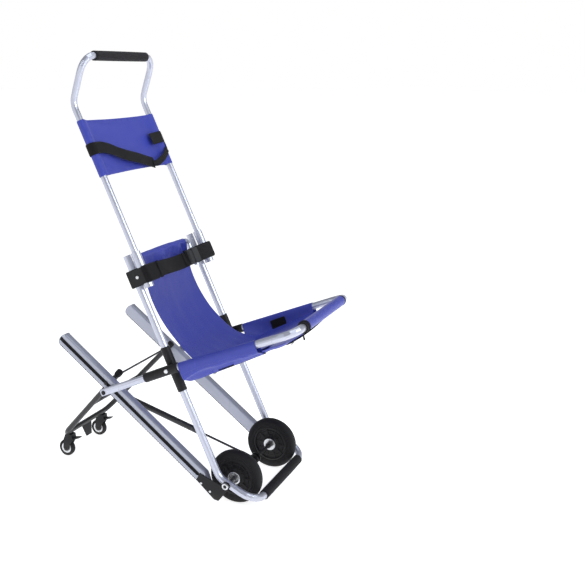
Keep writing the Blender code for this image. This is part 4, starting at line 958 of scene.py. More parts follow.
def sling_rows():
    """Rows of points from the casing on the back bar down to the seat's front edge."""
    rows = []
    columns = 40
    for step in range(9):
        turn = math.radians(-35.0 + 215.0 * step / 8.0)
        row = []
        for column in range(columns + 1):
            across = 2.0 * column / columns - 1.0
            puff = (
                BAR_WRAP + 0.0016 * ripple(across * 4.0, step * 0.5, 3.0)
                + 0.0010 * math.cos(across * 3.0)
            )
            up = BACK_BAR_UP + puff * math.sin(turn)
            row.append(at(across * 0.1515, up, BACK_BAR_BACK + puff * math.cos(turn)))
        rows.append(row)
    knots = sling_knots()
    count = 84
    for step in range(1, count + 1):
        share = step / count
        middle_up, middle_back, edge_up, edge_back, half = through(knots, share)
        row = []
        for column in range(columns + 1):
            across = 2.0 * column / columns - 1.0
            rise = abs(across) ** 2.4
            up = middle_up + (edge_up - middle_up) * rise
            back = middle_back + (edge_back - middle_back) * rise
            # Gathers hang from the bar in swags; drag lines fan out at the bend; the seat creases.
            swag = math.cos(
                across * 8.0 + 1.1
                + 2.2 * across * across
            ) + 0.4 * math.sin(across * 15.0 - share * 40.0)
            bar_folds = math.exp(-((share - 0.055) / 0.040) ** 2) * swag
            bend_folds = math.exp(-((share - 0.62) / 0.15) ** 2) * ripple(
                across * 4.0 - share * 12.0, share * 14.0 + across * 5.0, 1.0,
            )
            long_folds = math.exp(-((share - 0.36) / 0.20) ** 2) * ripple(
                across * 6.0 + share * 2.0, share * 3.0, 9.0,
            )
            seat_folds = ripple(across * 3.0 + share * 4.0, share * 10.0, 5.0)
            edge_calm = 1.0 - 0.6 * abs(across) ** 6
            lift = (
                0.0085 * bar_folds + 0.0030 * bend_folds
                + 0.0012 * long_folds + 0.0018 * seat_folds
            ) * edge_calm
            row.append(at(across * half, up + lift * 0.45, back - lift * 0.85))
        rows.append(row)
    return rows


SLING = sling_rows()
sling, sling_flat = cloth_sheet("sling", SLING, CLOTH_THICK, NYLON)
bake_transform(sling)
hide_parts("back_panel", "seat_panel")


def grid_line(rows, column, start, end, toward, inset):
    """Line down a grid of points, lifted towards the side that the eye looks from."""
    line = []
    for row in range(start, end):
        here = rows[row][column]
        beside = rows[row][column + toward]
        ahead = rows[min(row + 1, len(rows) - 1)][column] - rows[max(row - 1, 0)][column]
        outward = (beside - here).cross(ahead).normalized() * (1.0 if toward > 0 else -1.0)
        place = here + (beside - here).normalized() * inset + outward * STITCH_LIFT
        line.append((place, outward))
    return line


back_hems = [grid_line(SLING, 0, 10, 58, 1, 0.009), grid_line(SLING, -1, 10, 58, -1, 0.009)]
back_hems += [
    [(point + ACROSS * shift, out) for point, out in line]
    for line, shift in zip(back_hems[:2], (0.004, -0.004))
]
sew("sling_hem_stitches", back_hems, "frame")
casing = [(SLING[13][column] - LEAN_BACK * STITCH_LIFT, -LEAN_BACK) for column in range(1, 40)]
sew("sling_casing_stitches", [casing], "frame")


# Seat side casings: the cloth turns over each side tube and hangs as a low flap at the rear,
# where the pouch is sewn to it. The flap narrows until it only wraps the tube at the front.

CASING_START = 0.046
CASING_END = 0.330


def casing_rows(side):
    """Casing section at stations along the tube: inner leaf, over the tube, outer flap, foot."""
    rows = []
    for step in range(37):
        share = step / 36.0
        forward = CASING_START + (CASING_END - CASING_START) * share
        hang = (
            0.0255 + 0.0185 * math.exp(-share * 9.0) + 0.0012 * math.sin(share * 17.0)
            + 0.0010 * ripple(share * 6.0, 0.0, side + 4.0)
        )
        foot = seat_bottom(forward) + 0.006
        out = 0.0142
        profile = [
            (-0.0205, foot), (-0.0185, 0.75 * foot), (-0.0165, 0.5 * foot), (-0.0150, 0.25 * foot),
            (-0.0143, 0.0010),
            (-0.0128, -0.0075), (-0.0070, -0.0128), (0.0, -0.0143), (0.0072, -0.0124),
            (0.0124, -0.0070), (out, 0.0),
            (out - 0.0002, 0.3 * hang), (out - 0.0012, 0.6 * hang), (out - 0.0030, 0.86 * hang),
            (out - 0.0058, hang),
            (out - 0.0110, hang + 0.0022), (out - 0.0190, hang + 0.0040),
            (-0.0170, 0.5 * (hang + foot) + 0.006), (-0.0300, foot + 0.0075),
        ]
        row = []
        for index, (reach, drop) in enumerate(profile):
            crease = 0.0013 * ripple(index * 0.45, share * 8.0, side + 2.0) if index > 10 else 0.0
            if index < 4:
                crease = 0.0016 * ripple(index * 0.5, share * 7.0, side + 12.0)
            row.append(seat_at(side * (SEAT_X + reach + crease), forward, drop + crease))
        rows.append(row)
    return rows


for side_name, side_sign in SIDES:
    rows = casing_rows(side_sign)
    casing_piece, casing_flat = cloth_sheet(f"seat_casing_{side_name}", rows, CLOTH_THICK, NYLON)
    fit_on(casing_piece, "seat", "blue_cloth")
    top_line = [(row[12] + ACROSS * side_sign * 0.0009, ACROSS * side_sign) for row in rows[1:-1]]
    hem_line = [(row[13] + ACROSS * side_sign * 0.0009, ACROSS * side_sign) for row in rows[1:-1]]
    sew(f"seat_casing_stitches_{side_name}", [top_line, hem_line], "seat")


# Pouch under the seat: a flat bag of the same cloth, closed by a zip down each side and one
# along its rear edge, with a 50 mm strap round its middle. It is lightly filled and sags.

POUCH_HALF = 0.198
POUCH_START = 0.070
POUCH_END = 0.398
POUCH_GAP = 0.0030
POUCH_THICK = 0.0070


def pouch_top(across, forward):
    """Drop of the bag's upper leaf, just under the sling."""
    return seat_bottom(forward) + 0.009 * (1.0 - across * across) + POUCH_GAP


def pouch_rim(across, forward):
    """How full the bag is at a point: 1 in the middle, 0 at its edge seams."""
    share = (forward - POUCH_START) / (POUCH_END - POUCH_START)
    return math.sqrt(max(
        min((1.0 - abs(across)) * 9.0, 1.0) * min(share * 7.0, (1.0 - share) * 7.0, 1.0), 0.0,
    ))


def pouch_shell():
    """Flat bag that follows the sling's sag, before it is filled."""
    mesh = bmesh.new()
    columns, lengths = 44, 28
    layers = []
    for level in (0.0, 1.0):
        layer = []
        for row in range(lengths + 1):
            share = row / lengths
            line = []
            for column in range(columns + 1):
                across = 2.0 * column / columns - 1.0
                forward = POUCH_START + (POUCH_END - POUCH_START) * share
                drop = pouch_top(across, forward) + level * (
                    POUCH_THICK * pouch_rim(across, forward)
                    + 0.001
                )
                corner = 1.0 - 0.03 * (2.0 * share - 1.0) ** 6
                line.append(mesh.verts.new(seat_at(across * POUCH_HALF * corner, forward, drop)))
            layer.append(line)
        layers.append(layer)
    for layer in layers:
        for low, high in zip(layer, layer[1:]):
            for a, b, c, d in zip(low, low[1:], high[1:], high):
                mesh.faces.new((a, b, c, d))
    rims = []
    for layer in layers:
        rims.append(
            layer[0] + [line[-1] for line in layer[1:-1]]
            + layer[-1][::-1] + [line[0] for line in layer[-2:0:-1]]
        )
    for index in range(len(rims[0])):
        following = (index + 1) % len(rims[0])
        mesh.faces.new((rims[0][index], rims[0][following], rims[1][following], rims[1][index]))
    return mesh


def fill(piece, pressure, frames, cap):
    """Blows a closed cloth up a little, and holds each point within the cap of its start."""
    start = [vert.co.copy() for vert in piece.data.vertices]
    cloth = piece.modifiers.new("fill", "CLOTH")
    cloth.settings.quality = 6
    cloth.settings.mass = 0.25
    cloth.settings.tension_stiffness = 18.0
    cloth.settings.compression_stiffness = 12.0
    cloth.settings.bending_stiffness = 0.35
    cloth.settings.use_pressure = True
    cloth.settings.uniform_pressure_force = pressure
    cloth.settings.effector_weights.gravity = 0.0
    cloth.point_cache.frame_start = 1
    cloth.point_cache.frame_end = frames
    for moment in range(1, frames + 1):
        bpy.context.scene.frame_set(moment)
    graph = bpy.context.evaluated_depsgraph_get()
    filled = [vert.co.copy() for vert in piece.evaluated_get(graph).data.vertices]
    piece.modifiers.remove(cloth)
    for vert, home, place in zip(piece.data.vertices, start, filled):
        move = place - home
        vert.co = home + move * min(1.0, cap / max(move.length, 1e-9))
    piece.data.update()
    bpy.context.scene.frame_set(1)


pouch = mesh_piece("seat_pouch_bag", pouch_shell(), NYLON, angle=180.0)
pouch_uv = pouch.data.uv_layers.new(name="cloth")
for loop in pouch.data.loops:
    spot = pouch.data.vertices[loop.vertex_index].co - PIVOT
    pouch_uv.data[loop.index].uv = (spot.x, spot.dot(LEAN_BACK))
fill(pouch, 3.0, 16, 0.0035)
for vert in pouch.data.vertices:
    spot = vert.co - PIVOT
    forward, drop = -spot.dot(LEAN_BACK), -spot.dot(LEAN_UP)
    if drop - SEAT_DROOP * forward > pouch_top(spot.x / POUCH_HALF, forward) + 0.5 * POUCH_THICK:
        vert.co -= LEAN_UP * 0.0018 * ripple(
            spot.x * 14.0 + forward * 22.0, forward * 26.0 - spot.x * 6.0, 2.0,
        )
soften_pouch = pouch.modifiers.new("soften", "SUBSURF")
soften_pouch.levels = 1
soften_pouch.render_levels = 1
fit_on(pouch, "seat", "blue_cloth", "seat_pouch")


def black_webbing():
    """Woven polyester webbing: ribs of a plain weave and faded patches."""
    made, tree, shader = surface(
        "black webbing", Sheen_Weight=0.03, Sheen_Roughness=0.5, Specular_IOR_Level=0.12,
    )
    weave = use_group(tree, WEAVE, Thread=0.0021)
    grain = use_group(tree, GRAIN, Fineness=900.0, Patches=24.0)
    yarn = blend_colour(tree, weave["Height"], (0.0035, 0.0032, 0.0038), (0.016, 0.015, 0.017))
    faded = blend_colour(tree, grain["Patch"], yarn, (0.009, 0.0088, 0.010))
    tree.links.new(faded, shader.inputs["Base Color"])
    tree.links.new(spread(tree, grain["Patch"], 0.62, 0.85), shader.inputs["Roughness"])
    raise_bump(tree, shader, math_node(tree, "ADD", weave["Height"], grain["Height"]), 0.0005)
    return made


WEBBING = black_webbing()
BLACK_THREAD = thread("black thread", (0.012, 0.012, 0.013), (0.035, 0.034, 0.037))


def webbing(name, path, width, thick=0.0017):
    """Flat strap along (point, edge direction) pairs, with a UV map in metres."""
    rows = []
    for point, edge in path:
        rows.append([point + edge * width * (column / 6.0 - 0.5) for column in range(7)])
    piece, _ = cloth_sheet(name, rows, thick, WEBBING)
    return piece


def strap_edges(path, width):
    """Two stitch lines just inside a strap's edges, on its outer face."""
    lines = []
    for sign in (-1.0, 1.0):
        line = []
        for index, (point, edge) in enumerate(path):
            ahead = path[min(index + 1, len(path) - 1)][0] - path[max(index - 1, 0)][0]
            out = ahead.cross(edge).normalized()
            line.append((point + edge * sign * (width / 2.0 - 0.0035) - out * 0.0012, out))
        lines.append(line)
    return lines


def zip_brass():
    made, tree, shader = surface("zip brass", Metallic=0.95)
    grain = use_group(tree, GRAIN, Fineness=2400.0, Patches=120.0)
    tree.links.new(
        blend_colour(tree, grain["Patch"], (0.44, 0.36, 0.20), (0.78, 0.70, 0.48)),
        shader.inputs["Base Color"],
    )
    tree.links.new(spread(tree, grain["Patch"], 0.22, 0.42), shader.inputs["Roughness"])
    return made


BRASS = zip_brass()


def pouch_face(x, forward):
    """Point just below the pouch's underside."""
    across = x / POUCH_HALF
    return seat_at(
        x, forward,
        pouch_top(across, forward) + (POUCH_THICK + 0.0035) * pouch_rim(across, forward) + 0.0020,
    )


def pouch_zips():
    """Zip tapes with brass teeth, sliders and pull tabs on the pouch's underside."""
    runs = []
    for side in (-1.0, 1.0):
        runs.append([
            (side * (POUCH_HALF - 0.022), POUCH_START + 0.016 + 0.014 * step)
            for step in range(17)
        ])
    runs.append([(-POUCH_HALF + 0.040 + 0.0195 * step, POUCH_END - 0.018) for step in range(17)])
    teeth = []
    for index, run in enumerate(runs):
        spots = [pouch_face(x, forward) for x, forward in run]
        ahead = (spots[-1] - spots[0]).normalized()
        path = [(spot, LEAN_UP.cross(ahead).normalized()) for spot in spots]
        tape = webbing(f"pouch_zip_tape_{index}", path, 0.022, 0.0010)
        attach(tape, "seat")
        teeth.append([(spot - LEAN_UP * 0.0008, -LEAN_UP) for spot in spots])
        slider_at = spots[2] - LEAN_UP * 0.0022
        edge = LEAN_UP.cross(ahead).normalized()
        corners = [
            (-0.0055, -0.0035), (0.0045, -0.0048), (0.0060, 0.0), (0.0045, 0.0048),
            (-0.0055, 0.0035),
        ]
        outline = [slider_at + ahead * along + edge * off for along, off in corners]
        slider = plate(f"pouch_zip_slider_{index}", outline, -LEAN_UP * 0.0026, 0.0006, ZINC)
        fit_on(slider, "seat", "bright_steel")
        tab_at = slider_at - LEAN_UP * 0.0030
        corners = [
            (0.002, -0.0022), (0.020, -0.0030), (0.0235, 0.0), (0.020, 0.0030), (0.002, 0.0022),
        ]
        outline = [tab_at - ahead * along + edge * off for along, off in corners]
        pull = plate(f"pouch_zip_pull_{index}", outline, -LEAN_UP * 0.0012, 0.0004, ZINC)
        fit_on(pull, "seat", "bright_steel")
    fit_on(
        lay_run("pouch_zip_teeth", TEETH, teeth, 0.0024, (0.0014, 0.0052, 0.0016), BRASS), "seat",
        "bright_steel",
    )


pouch_zips()

POUCH_STRAP_FORWARD = 0.190
POUCH_STRAP_WIDTH = 0.050
pouch_strap_path = []
for step in range(41):
    x = -0.236 + 0.472 * step / 40.0
    inside = min(abs(x), POUCH_HALF)
    low = pouch_face(inside, POUCH_STRAP_FORWARD) - LEAN_UP * 0.0012
    rise = max(abs(x) - POUCH_HALF, 0.0) * 0.45
    pouch_strap_path.append((Vector((x, low.y, low.z)) + LEAN_UP * rise, LEAN_BACK))
pouch_strap = webbing("pouch_strap", pouch_strap_path, POUCH_STRAP_WIDTH)
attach(pouch_strap, "seat")
sew(
    "pouch_strap_stitches", strap_edges(pouch_strap_path, POUCH_STRAP_WIDTH), "seat",
    material=BLACK_THREAD, slot="black_webbing",
)


# Black webbing band, 60 mm wide, up the inside of each side casing from the pouch's edge towards
# the tube, at the strap's station.
for side_name, side_sign in SIDES:
    band_path = []
    for step in range(13):
        drop = 0.048 - 0.046 * step / 12.0
        reach = 0.0215 - 0.0035 * step / 12.0
        band_path.append((seat_at(side_sign * (SEAT_X - reach), POUCH_STRAP_FORWARD, drop), LEAN_BACK))
    fit_on(webbing(f"casing_inner_band_{side_name}", band_path, 0.060, 0.0012), "seat", "black_webbing")


# Seat front roll: foam round the front tube in a sewn blue sleeve, gathered at both ends over
# a black ring, with the tail of the restraint strap hanging at the right end.

ROLL_CENTRE = seat_at(0.0, 0.459)
ROLL_HALF = 0.178
ROLL_RADIUS = 0.0172
ROLL_END_RADIUS = 0.0132
ROLL_BORE = 0.0129


def front_roll():
    mesh = bmesh.new()
    around, stations = 40, 90
    rings = []
    for station in range(stations + 1):
        share = -1.0 + 2.0 * station / stations
        close = 1.0 - abs(share)
        end = math.sqrt(min(close / 0.016, 1.0))
        ring = []
        for step in range(around):
            turn = 2.0 * math.pi * step / around
            gather = math.exp(-close * 26.0) * 0.0007 * math.sin(turn * 9.0 + share * 2.0)
            soft = 0.00045 * ripple(share * 9.0, turn * 1.1, 6.0)
            radius = ROLL_END_RADIUS + (ROLL_RADIUS - ROLL_END_RADIUS) * end + gather + soft * end
            outward = LEAN_UP * math.cos(turn) + LEAN_BACK * math.sin(turn)
            ring.append(mesh.verts.new(ROLL_CENTRE + ACROSS * share * ROLL_HALF + radius * outward))
        rings.append(ring)
    for station in (stations, 0):
        share = -1.0 + 2.0 * station / stations
        ring = []
        for step in range(around):
            turn = 2.0 * math.pi * step / around
            outward = LEAN_UP * math.cos(turn) + LEAN_BACK * math.sin(turn)
            inside = ROLL_CENTRE + ACROSS * share * (ROLL_HALF - 0.004) + ROLL_BORE * outward
            ring.append(mesh.verts.new(inside))
        rings.append(ring)
    for first, second in zip(rings, rings[1:] + rings[:1]):
        for step in range(around):
            following = (step + 1) % around
            mesh.faces.new((first[step], first[following], second[following], second[step]))
    return mesh


roll = mesh_piece("seat_front_roll", front_roll(), NYLON, angle=180.0)
roll_uv = roll.data.uv_layers.new(name="cloth")
for loop in roll.data.loops:
    spot = roll.data.vertices[loop.vertex_index].co - ROLL_CENTRE
    roll_uv.data[loop.index].uv = (
        spot.x, ROLL_RADIUS * math.atan2(spot.dot(LEAN_BACK), spot.dot(LEAN_UP)),
    )
fit_on(roll, "seat", "blue_cloth", "seat_front_pad")
seam_out = (-LEAN_UP * 0.86 + LEAN_BACK * 0.5).normalized()
seam = [
    (ROLL_CENTRE + ACROSS * (-0.168 + 0.0056 * step) + seam_out * (ROLL_RADIUS + 0.0003), seam_out)
    for step in range(61)
]
sew("front_roll_stitches", [seam], "seat")
for side_name, side_sign in SIDES:
    crown = [(0.0166, -0.005), (0.0176, -0.003), (0.0176, 0.003), (0.0166, 0.005)]
    band = [(ROLL_BORE, -0.005)] + crown + [(ROLL_BORE, 0.005)]
    place = ROLL_CENTRE + ACROSS * side_sign * (ROLL_HALF + 0.0006)
    roll_ring = turned_piece(f"front_roll_ring_{side_name}", band, place, ACROSS, RUBBER)
    fit_on(roll_ring, "seat", "black_rubber")

TAIL_X = -0.1690
tail_path = []
for step in range(31):
    turn = math.radians(-60.0 + 330.0 * min(step, 22) / 22.0)
    reach = ROLL_RADIUS + 0.0016
    point = ROLL_CENTRE + Vector((TAIL_X, -reach * math.cos(turn), reach * math.sin(turn)))
    if step > 22:
        fall = (step - 22) / 8.0
        swing = 0.004 * math.sin(fall * 4.0)
        start = ROLL_CENTRE + Vector((TAIL_X, 0.0, -reach))
        point = start + Vector((0.002 * fall, 0.5 * swing, -0.024 * fall))
    tail_path.append((point, ACROSS))
strap_tail = webbing("seat_strap_tail", tail_path, 0.012)
fit_on(strap_tail, "seat", "black_webbing", "seat_strap")


# Head panel: a sleeve of the same nylon pulled over both handle tubes. The layers are sewn
# together beside each tube, so the tubes show as ridges and the middle lies flat.

HEAD_LOW = 1.059
HEAD_HIGH = 1.249
HEAD_CASING = 0.0125
HEAD_SEAM_X = 0.187


def head_rows():
    half_arc = [math.radians(-90.0 + 180.0 * step / 10.0) for step in range(11)]
    ring = []
    for side in (1.0, -1.0):
        arc = [
            (side * (UPRIGHT_X + HEAD_CASING * math.cos(turn)), side * HEAD_CASING * math.sin(turn))
            for turn in half_arc
        ]
        ring += arc
        across = [side * (0.207 - 0.414 * step / 29.0) for step in range(30)]
        for x in across:
            near = min(max((abs(x) - HEAD_SEAM_X) / 0.024, 0.0), 1.0)
            gap = 0.0024 + (HEAD_CASING - 0.0024) * near * near * (3.0 - 2.0 * near)
            ring.append((x, side * gap))
    rows = []
    for step in range(29):
        share = step / 28.0
        row = []
        for x, layer in ring:
            across = x / UPRIGHT_X
            calm = 1.0 - abs(across) ** 4
            sag = 0.0035 * math.sin(math.pi * (0.5 + across / 2.0)) * (share - 0.5) * 2.0
            crease = 0.0017 * ripple(
                across * 2.6 + share * 2.0, share * 4.5 - across * 2.0, 8.0,
            ) * max(calm, 0.0)
            beside = math.exp(-((abs(across) - 0.80) / 0.09) ** 2)
            pull = 0.0012 * math.sin(share * 21.0 + across * 3.0) * beside
            up = HEAD_LOW + (HEAD_HIGH - HEAD_LOW) * share - sag
            row.append(at(x, up, HANDLE_BACK + layer + crease + pull))
        rows.append(row)
    return rows


HEAD = head_rows()
head_cloth, head_flat = cloth_sheet("head_cloth", HEAD, CLOTH_THICK, NYLON, closed=True)
fit_on(head_cloth, "handle", "blue_cloth", "head_panel")
head_stitch_lines = []
for share_row in (1, 27):
    for lift in (0, 1):
        row = HEAD[share_row]
        faces_out = [point for point in row if (point - AXLE).dot(LEAN_BACK) < HANDLE_BACK - 0.001]
        front = [point for point in faces_out if abs(point.x) < 0.216]
        front.sort(key=lambda point: point.x)
        shift = LEAN_UP * (0.003 if share_row == 1 else -0.003) * (1 + lift)
        head_stitch_lines.append([
            (point + shift - LEAN_BACK * 0.0009, -LEAN_BACK)
            for point in front
        ])
for side in (-1.0, 1.0):
    seam_points = []
    for row in HEAD:
        front = [point for point in row if (point - AXLE).dot(LEAN_BACK) < HANDLE_BACK]
        nearest = min(front, key=lambda point: abs(point.x - side * HEAD_SEAM_X))
        seam_points.append((nearest - LEAN_BACK * 0.0009, -LEAN_BACK))
    head_stitch_lines.append(seam_points)
sew("head_panel_stitches", head_stitch_lines, "handle")


# Head strap: 40 mm webbing looped on the right tube, slanting down over the panel to a fold,
# then a narrower tail up to the left tube. Its other end lies flat on the panel there.


def strap_path(knots, count):
    """Strap line through (x, up, back) knots, with its edge square to the line and the panel."""
    spots = [at(*through(knots, step / count)) for step in range(count + 1)]
    path = []
    for index, spot in enumerate(spots):
        ahead = spots[min(index + 1, count)] - spots[max(index - 1, 0)]
        path.append((spot, LEAN_BACK.cross(ahead).normalized()))
    return path


def tube_loop(name, x, up, radius, width, turns, tilt=0.0):
    """Webbing wrapped round an upright tube between two angles; 0 degrees points to +X."""
    path = []
    for step in range(29):
        turn = math.radians(turns[0] + (turns[1] - turns[0]) * step / 28.0)
        rise = tilt * (step / 28.0 - 0.5)
        path.append((
            at(x + radius * math.cos(turn), up + rise, HANDLE_BACK + radius * math.sin(turn)),
            LEAN_UP,
        ))
    return webbing(name, path, width)


HEAD_STRAP_KNOTS = [
    (-0.2165, 1.1500, -0.0292), (-0.1800, 1.1490, -0.0292), (-0.1400, 1.1400, -0.0290),
    (-0.1000, 1.1230, -0.0310),
    (-0.0600, 1.1090, -0.0335), (-0.0150, 1.0980, -0.0330), (0.0300, 1.0860, -0.0315),
    (0.0650, 1.0760, -0.0305), (0.0900, 1.0690, -0.0300),
]
HEAD_STRAP_WIDTH = 0.040
head_path = strap_path(HEAD_STRAP_KNOTS, 48)
head_band = webbing("head_band", head_path, HEAD_STRAP_WIDTH)
fit_on(head_band, "handle", "black_webbing", "head_strap")
sew(
    "head_band_stitches", strap_edges(head_path, HEAD_STRAP_WIDTH), "handle", material=BLACK_THREAD,
    slot="black_webbing",
)
fit_on(
    tube_loop("head_band_loop", -UPRIGHT_X, 1.1500, 0.0152, HEAD_STRAP_WIDTH, (90.0, 272.0)),
    "handle", "black_webbing",
)
TAIL_KNOTS = [
    (0.0780, 1.0690, -0.0335), (0.1000, 1.0660, -0.0345), (0.1350, 1.0740, -0.0345),
    (0.1700, 1.0860, -0.0335), (0.1980, 1.1000, -0.0315), (0.2165, 1.1120, -0.0292),
]
fit_on(webbing("head_tail", strap_path(TAIL_KNOTS, 32), 0.022), "handle", "black_webbing")
fit_on(
    tube_loop("head_tail_loop", UPRIGHT_X, 1.1400, 0.0152, 0.020, (-90.0, 60.0), 0.050), "handle",
    "black_webbing",
)
ANCHOR_KNOTS = [
    (0.1350, 1.1540, -0.0290), (0.1600, 1.1560, -0.0292), (0.1900, 1.1580, -0.0294),
    (0.2165, 1.1600, -0.0292),
]
fit_on(webbing("head_anchor", strap_path(ANCHOR_KNOTS, 20), 0.042), "handle", "black_webbing")
fit_on(
    tube_loop("head_anchor_loop", UPRIGHT_X, 1.1600, 0.0150, 0.042, (-90.0, 95.0)), "handle",
    "black_webbing",
)


# Waist belt: 52 mm webbing that turns round each clamp block, slack across the back panel, with
# a side-release buckle towards the left and two narrow keepers stitched round it.

BELT_UP = 0.722
WAIST_BELT_WIDTH = 0.052
BELT_FACE = HANDLE_BACK - HANDLE_TUBE_RADIUS - 0.0006 - 0.0040 - 0.0075 - 0.0014
BELT_FREE = 0.165
BELT_SAG = 0.016
BELT_END_X = 0.2280


def belt_back(x):
    slack = math.cos(math.pi * min(abs(x), BELT_FREE) / (2.0 * BELT_FREE)) ** 2
    return BELT_FACE + BELT_SAG * slack


def belt_path(low, high, count, twist=0.0):
    spots = []
    for step in range(count + 1):
        x = low + (high - low) * step / count
        droop = 0.004 * math.cos(math.pi * min(abs(x), BELT_FREE) / (2.0 * BELT_FREE)) ** 2
        lean = LEAN_UP + LEAN_BACK * twist * math.sin(math.pi * step / count)
        spots.append((at(x, BELT_UP - droop, belt_back(x)), lean.normalized()))
    return spots


BUCKLE_X = 0.085
BUCKLE_HALF = 0.030
long_path = belt_path(-BELT_END_X, BUCKLE_X - BUCKLE_HALF + 0.004, 48, 0.10)
short_path = belt_path(BUCKLE_X + BUCKLE_HALF - 0.004, BELT_END_X, 18)
fit_on(
    webbing("belt_long", long_path, WAIST_BELT_WIDTH), "frame", "black_webbing", "waist_belt_long",
)
fit_on(
    webbing("belt_short", short_path, WAIST_BELT_WIDTH), "frame", "black_webbing",
    "waist_belt_short",
)
belt_lines = strap_edges(long_path[3:-2], WAIST_BELT_WIDTH)
belt_lines += strap_edges(short_path[2:-1], WAIST_BELT_WIDTH)
sew("belt_stitches", belt_lines, "frame", material=BLACK_THREAD, slot="black_webbing")
return_path = [
    (point - LEAN_BACK * 0.0024, edge)
    for point, edge in belt_path(0.030, BUCKLE_X - BUCKLE_HALF + 0.002, 14, 0.10)
]
fit_on(webbing("belt_return", return_path, WAIST_BELT_WIDTH - 0.001), "frame", "black_webbing")


def belt_wraps(name, side):
    """The belt's end turns round the block's outer edge."""
    outer = UPRIGHT_X + 0.0125 + 0.0035 + 0.0012
    path = [
        (at(side * 0.2240, BELT_UP, BELT_FACE), LEAN_UP),
        (at(side * outer, BELT_UP, BELT_FACE + 0.0010), LEAN_UP),
    ]
    path += [
        (at(side * (outer + 0.0004), BELT_UP, BELT_FACE + 0.004 + 0.005 * step), LEAN_UP)
        for step in range(4)
    ]
    fit_on(webbing(f"belt_end_{name}", path, WAIST_BELT_WIDTH), "frame", "black_webbing")


for side_name, side_sign in SIDES:
    belt_wraps(side_name, side_sign)


def keeper(name, x, wide):
    """Narrow band stitched round the belt."""
    path = []
    for step in range(25):
        turn = 2.0 * math.pi * step / 24.0
        reach = math.copysign(
            abs(math.cos(turn)) ** 0.35, math.cos(turn),
        ) * (WAIST_BELT_WIDTH / 2.0 + 0.002)
        depth = math.copysign(abs(math.sin(turn)) ** 0.6, math.sin(turn)) * 0.0032
        path.append((at(x, BELT_UP + reach, belt_back(x) + depth), ACROSS))
    fit_on(webbing(name, path, wide, 0.0013), "frame", "black_webbing")


keeper("belt_keeper_right", -0.160, 0.012)
keeper("belt_keeper_middle", 0.052, 0.010)


ACETAL = moulded_black("acetal buckle", (0.024, 0.025, 0.027), (0.042, 0.044, 0.047))


def buckle():
    """Side-release buckle: socket body, plug body with two sprung arms, and ladder bars."""
    start = at(BUCKLE_X - BUCKLE_HALF, BELT_UP, belt_back(BUCKLE_X - BUCKLE_HALF))
    end = at(BUCKLE_X + BUCKLE_HALF, BELT_UP, belt_back(BUCKLE_X + BUCKLE_HALF))
    along = (end - start).normalized()
    normal = LEAN_UP.cross(along).normalized()
    if normal.dot(LEAN_BACK) > 0.0:
        normal = -normal
    middle = (start + end) / 2.0
    outlines = {
        "socket": (
            [
                (-0.001, -0.0245), (0.012, -0.0265), (0.026, -0.0250), (0.0300, -0.0225),
                (0.0300, 0.0225), (0.026, 0.0250), (0.012, 0.0265), (-0.001, 0.0245),
            ],
            0.0062,
        ),
        "plug": (
            [
                (-0.0300, -0.0225), (-0.0270, -0.0250), (-0.0160, -0.0250), (-0.0120, -0.0210),
                (-0.0018, -0.0190), (-0.0018, 0.0190), (-0.0120, 0.0210), (-0.0160, 0.0250),
                (-0.0270, 0.0250), (-0.0300, 0.0225),
            ],
            0.0052,
        ),
    }
    for part, (corners, depth) in outlines.items():
        outline = [middle + along * u + LEAN_UP * v - normal * depth * 0.5 for u, v in corners]
        body = plate(f"buckle_{part}", outline, normal * depth * 1.9, 0.0016, ACETAL, 3)
        if part == "socket":
            fit_on(body, "frame", "black_plastic", "waist_buckle")
        else:
            fit_on(body, "frame", "black_plastic")
    for sign, label in ((-1.0, "low"), (1.0, "high")):
        corners = [
            (-0.012, 0.0205), (0.004, 0.0262), (0.014, 0.0286), (0.019, 0.0275), (0.014, 0.0250),
            (0.000, 0.0215),
        ]
        outline = [middle + along * u + LEAN_UP * v * sign for u, v in corners]
        arm = plate(f"buckle_arm_{label}", outline, normal * 0.0040, 0.0008, ACETAL)
        fit_on(arm, "frame", "black_plastic")
    for index, offset in enumerate((-0.0262, -0.0205, 0.0262, 0.0205)):
        foot = middle + along * offset + normal * 0.0066
        corners = [(-0.0012, -0.019), (0.0012, -0.019), (0.0012, 0.019), (-0.0012, 0.019)]
        outline = [foot + along * u + LEAN_UP * v for u, v in corners]
        bar = plate(f"buckle_bar_{index}", outline, normal * 0.0020, 0.0006, ACETAL)
        fit_on(bar, "frame", "black_plastic")


buckle()


# Studio: a pale floor that fades into a white surround, three broad softboxes (behind the near
# side, in front and above), and the camera at the near side, a little above seat height.

floor_mesh = bmesh.new()
floor_corners = [(-60.0, -60.0), (60.0, -60.0), (60.0, 60.0), (-60.0, 60.0)]
floor_mesh.faces.new([floor_mesh.verts.new((x, y, 0.0)) for x, y in floor_corners])
floor_finish, _, floor_shader = surface(
    "studio floor", Base_Color=(0.90, 0.90, 0.90, 1.0), Roughness=0.8,
)
floor_shader.inputs["Emission Color"].default_value = (1.0, 1.0, 1.0, 1.0)
floor_shader.inputs["Emission Strength"].default_value = 0.80
studio_floor = mesh_piece("studio_floor", floor_mesh, floor_finish, smooth=False)

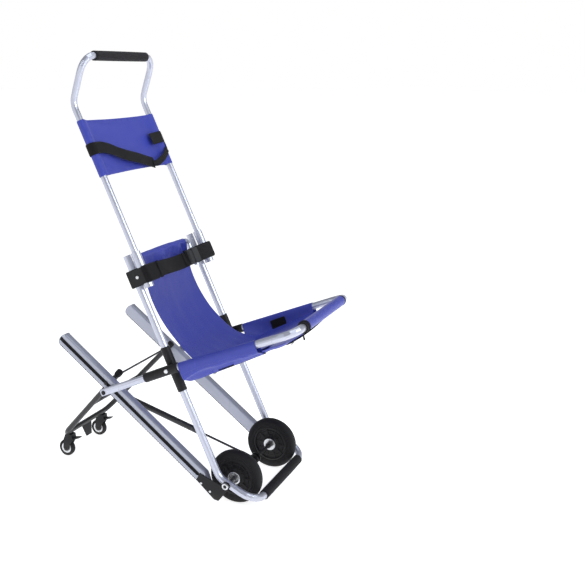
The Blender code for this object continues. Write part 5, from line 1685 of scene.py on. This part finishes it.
scene = bpy.context.scene
scene.view_settings.view_transform = "Standard"
surround = bpy.data.worlds.new("white surround")
scene.world = surround
surround.use_nodes = True
sky = surround.node_tree
height = node(
    sky, "ShaderNodeSeparateXYZ", {0: node(sky, "ShaderNodeTexCoord").outputs["Generated"]},
).outputs["Z"]
fade = node(
    sky, "ShaderNodeMapRange",
    {"Value": height, "From Min": 0.12, "From Max": 0.40, "To Min": 1.0, "To Max": 0.22},
)
sky.nodes["Background"].inputs["Color"].default_value = (1.0, 1.0, 1.0, 1.0)
sky.links.new(fade.outputs[0], sky.nodes["Background"].inputs["Strength"])


def softbox(name, place, aim, width, power):
    light = bpy.data.lights.new(name, "AREA")
    light.shape = "RECTANGLE"
    light.size = width
    light.size_y = width * 0.7
    light.energy = power
    light.color = (0.90, 0.95, 1.0)
    lamp = bpy.data.objects.new(name, light)
    scene.collection.objects.link(lamp)
    lamp.location = place
    lamp.rotation_euler = (Vector(aim) - Vector(place)).to_track_quat("-Z", "Y").to_euler()


softbox("key_softbox", (-2.4, 1.2, 2.9), (0.0, 0.0, 0.6), 1.8, 24.0)
softbox("front_softbox", (-0.4, -3.2, 2.2), (0.0, 0.0, 0.6), 2.0, 52.0)
softbox("top_softbox", (0.6, -0.4, 3.4), (0.0, 0.0, 0.4), 2.4, 30.0)

CAMERA_PLACE = Vector((-2.58, -1.333, 1.378))
CAMERA_AZIMUTH = math.radians(-63.42)
CAMERA_ELEVATION = math.radians(14.14)
CAMERA_ROLL = math.radians(0.24)
lens = bpy.data.cameras.new("camera")
lens.sensor_width = 36.0
lens.lens = 54.35
lens.shift_x = 0.154
lens.clip_end = 60.0
camera = bpy.data.objects.new("camera", lens)
scene.collection.objects.link(camera)
flat = math.cos(CAMERA_ELEVATION)
behind = Vector((
    math.sin(CAMERA_AZIMUTH) * flat, -math.cos(CAMERA_AZIMUTH) * flat, math.sin(CAMERA_ELEVATION),
))
camera.location = CAMERA_PLACE
camera.rotation_mode = "QUATERNION"
roll_turn = Matrix.Rotation(CAMERA_ROLL, 3, "Z").to_quaternion()
camera.rotation_quaternion = (-behind).to_track_quat("-Z", "Y") @ roll_turn
scene.camera = camera
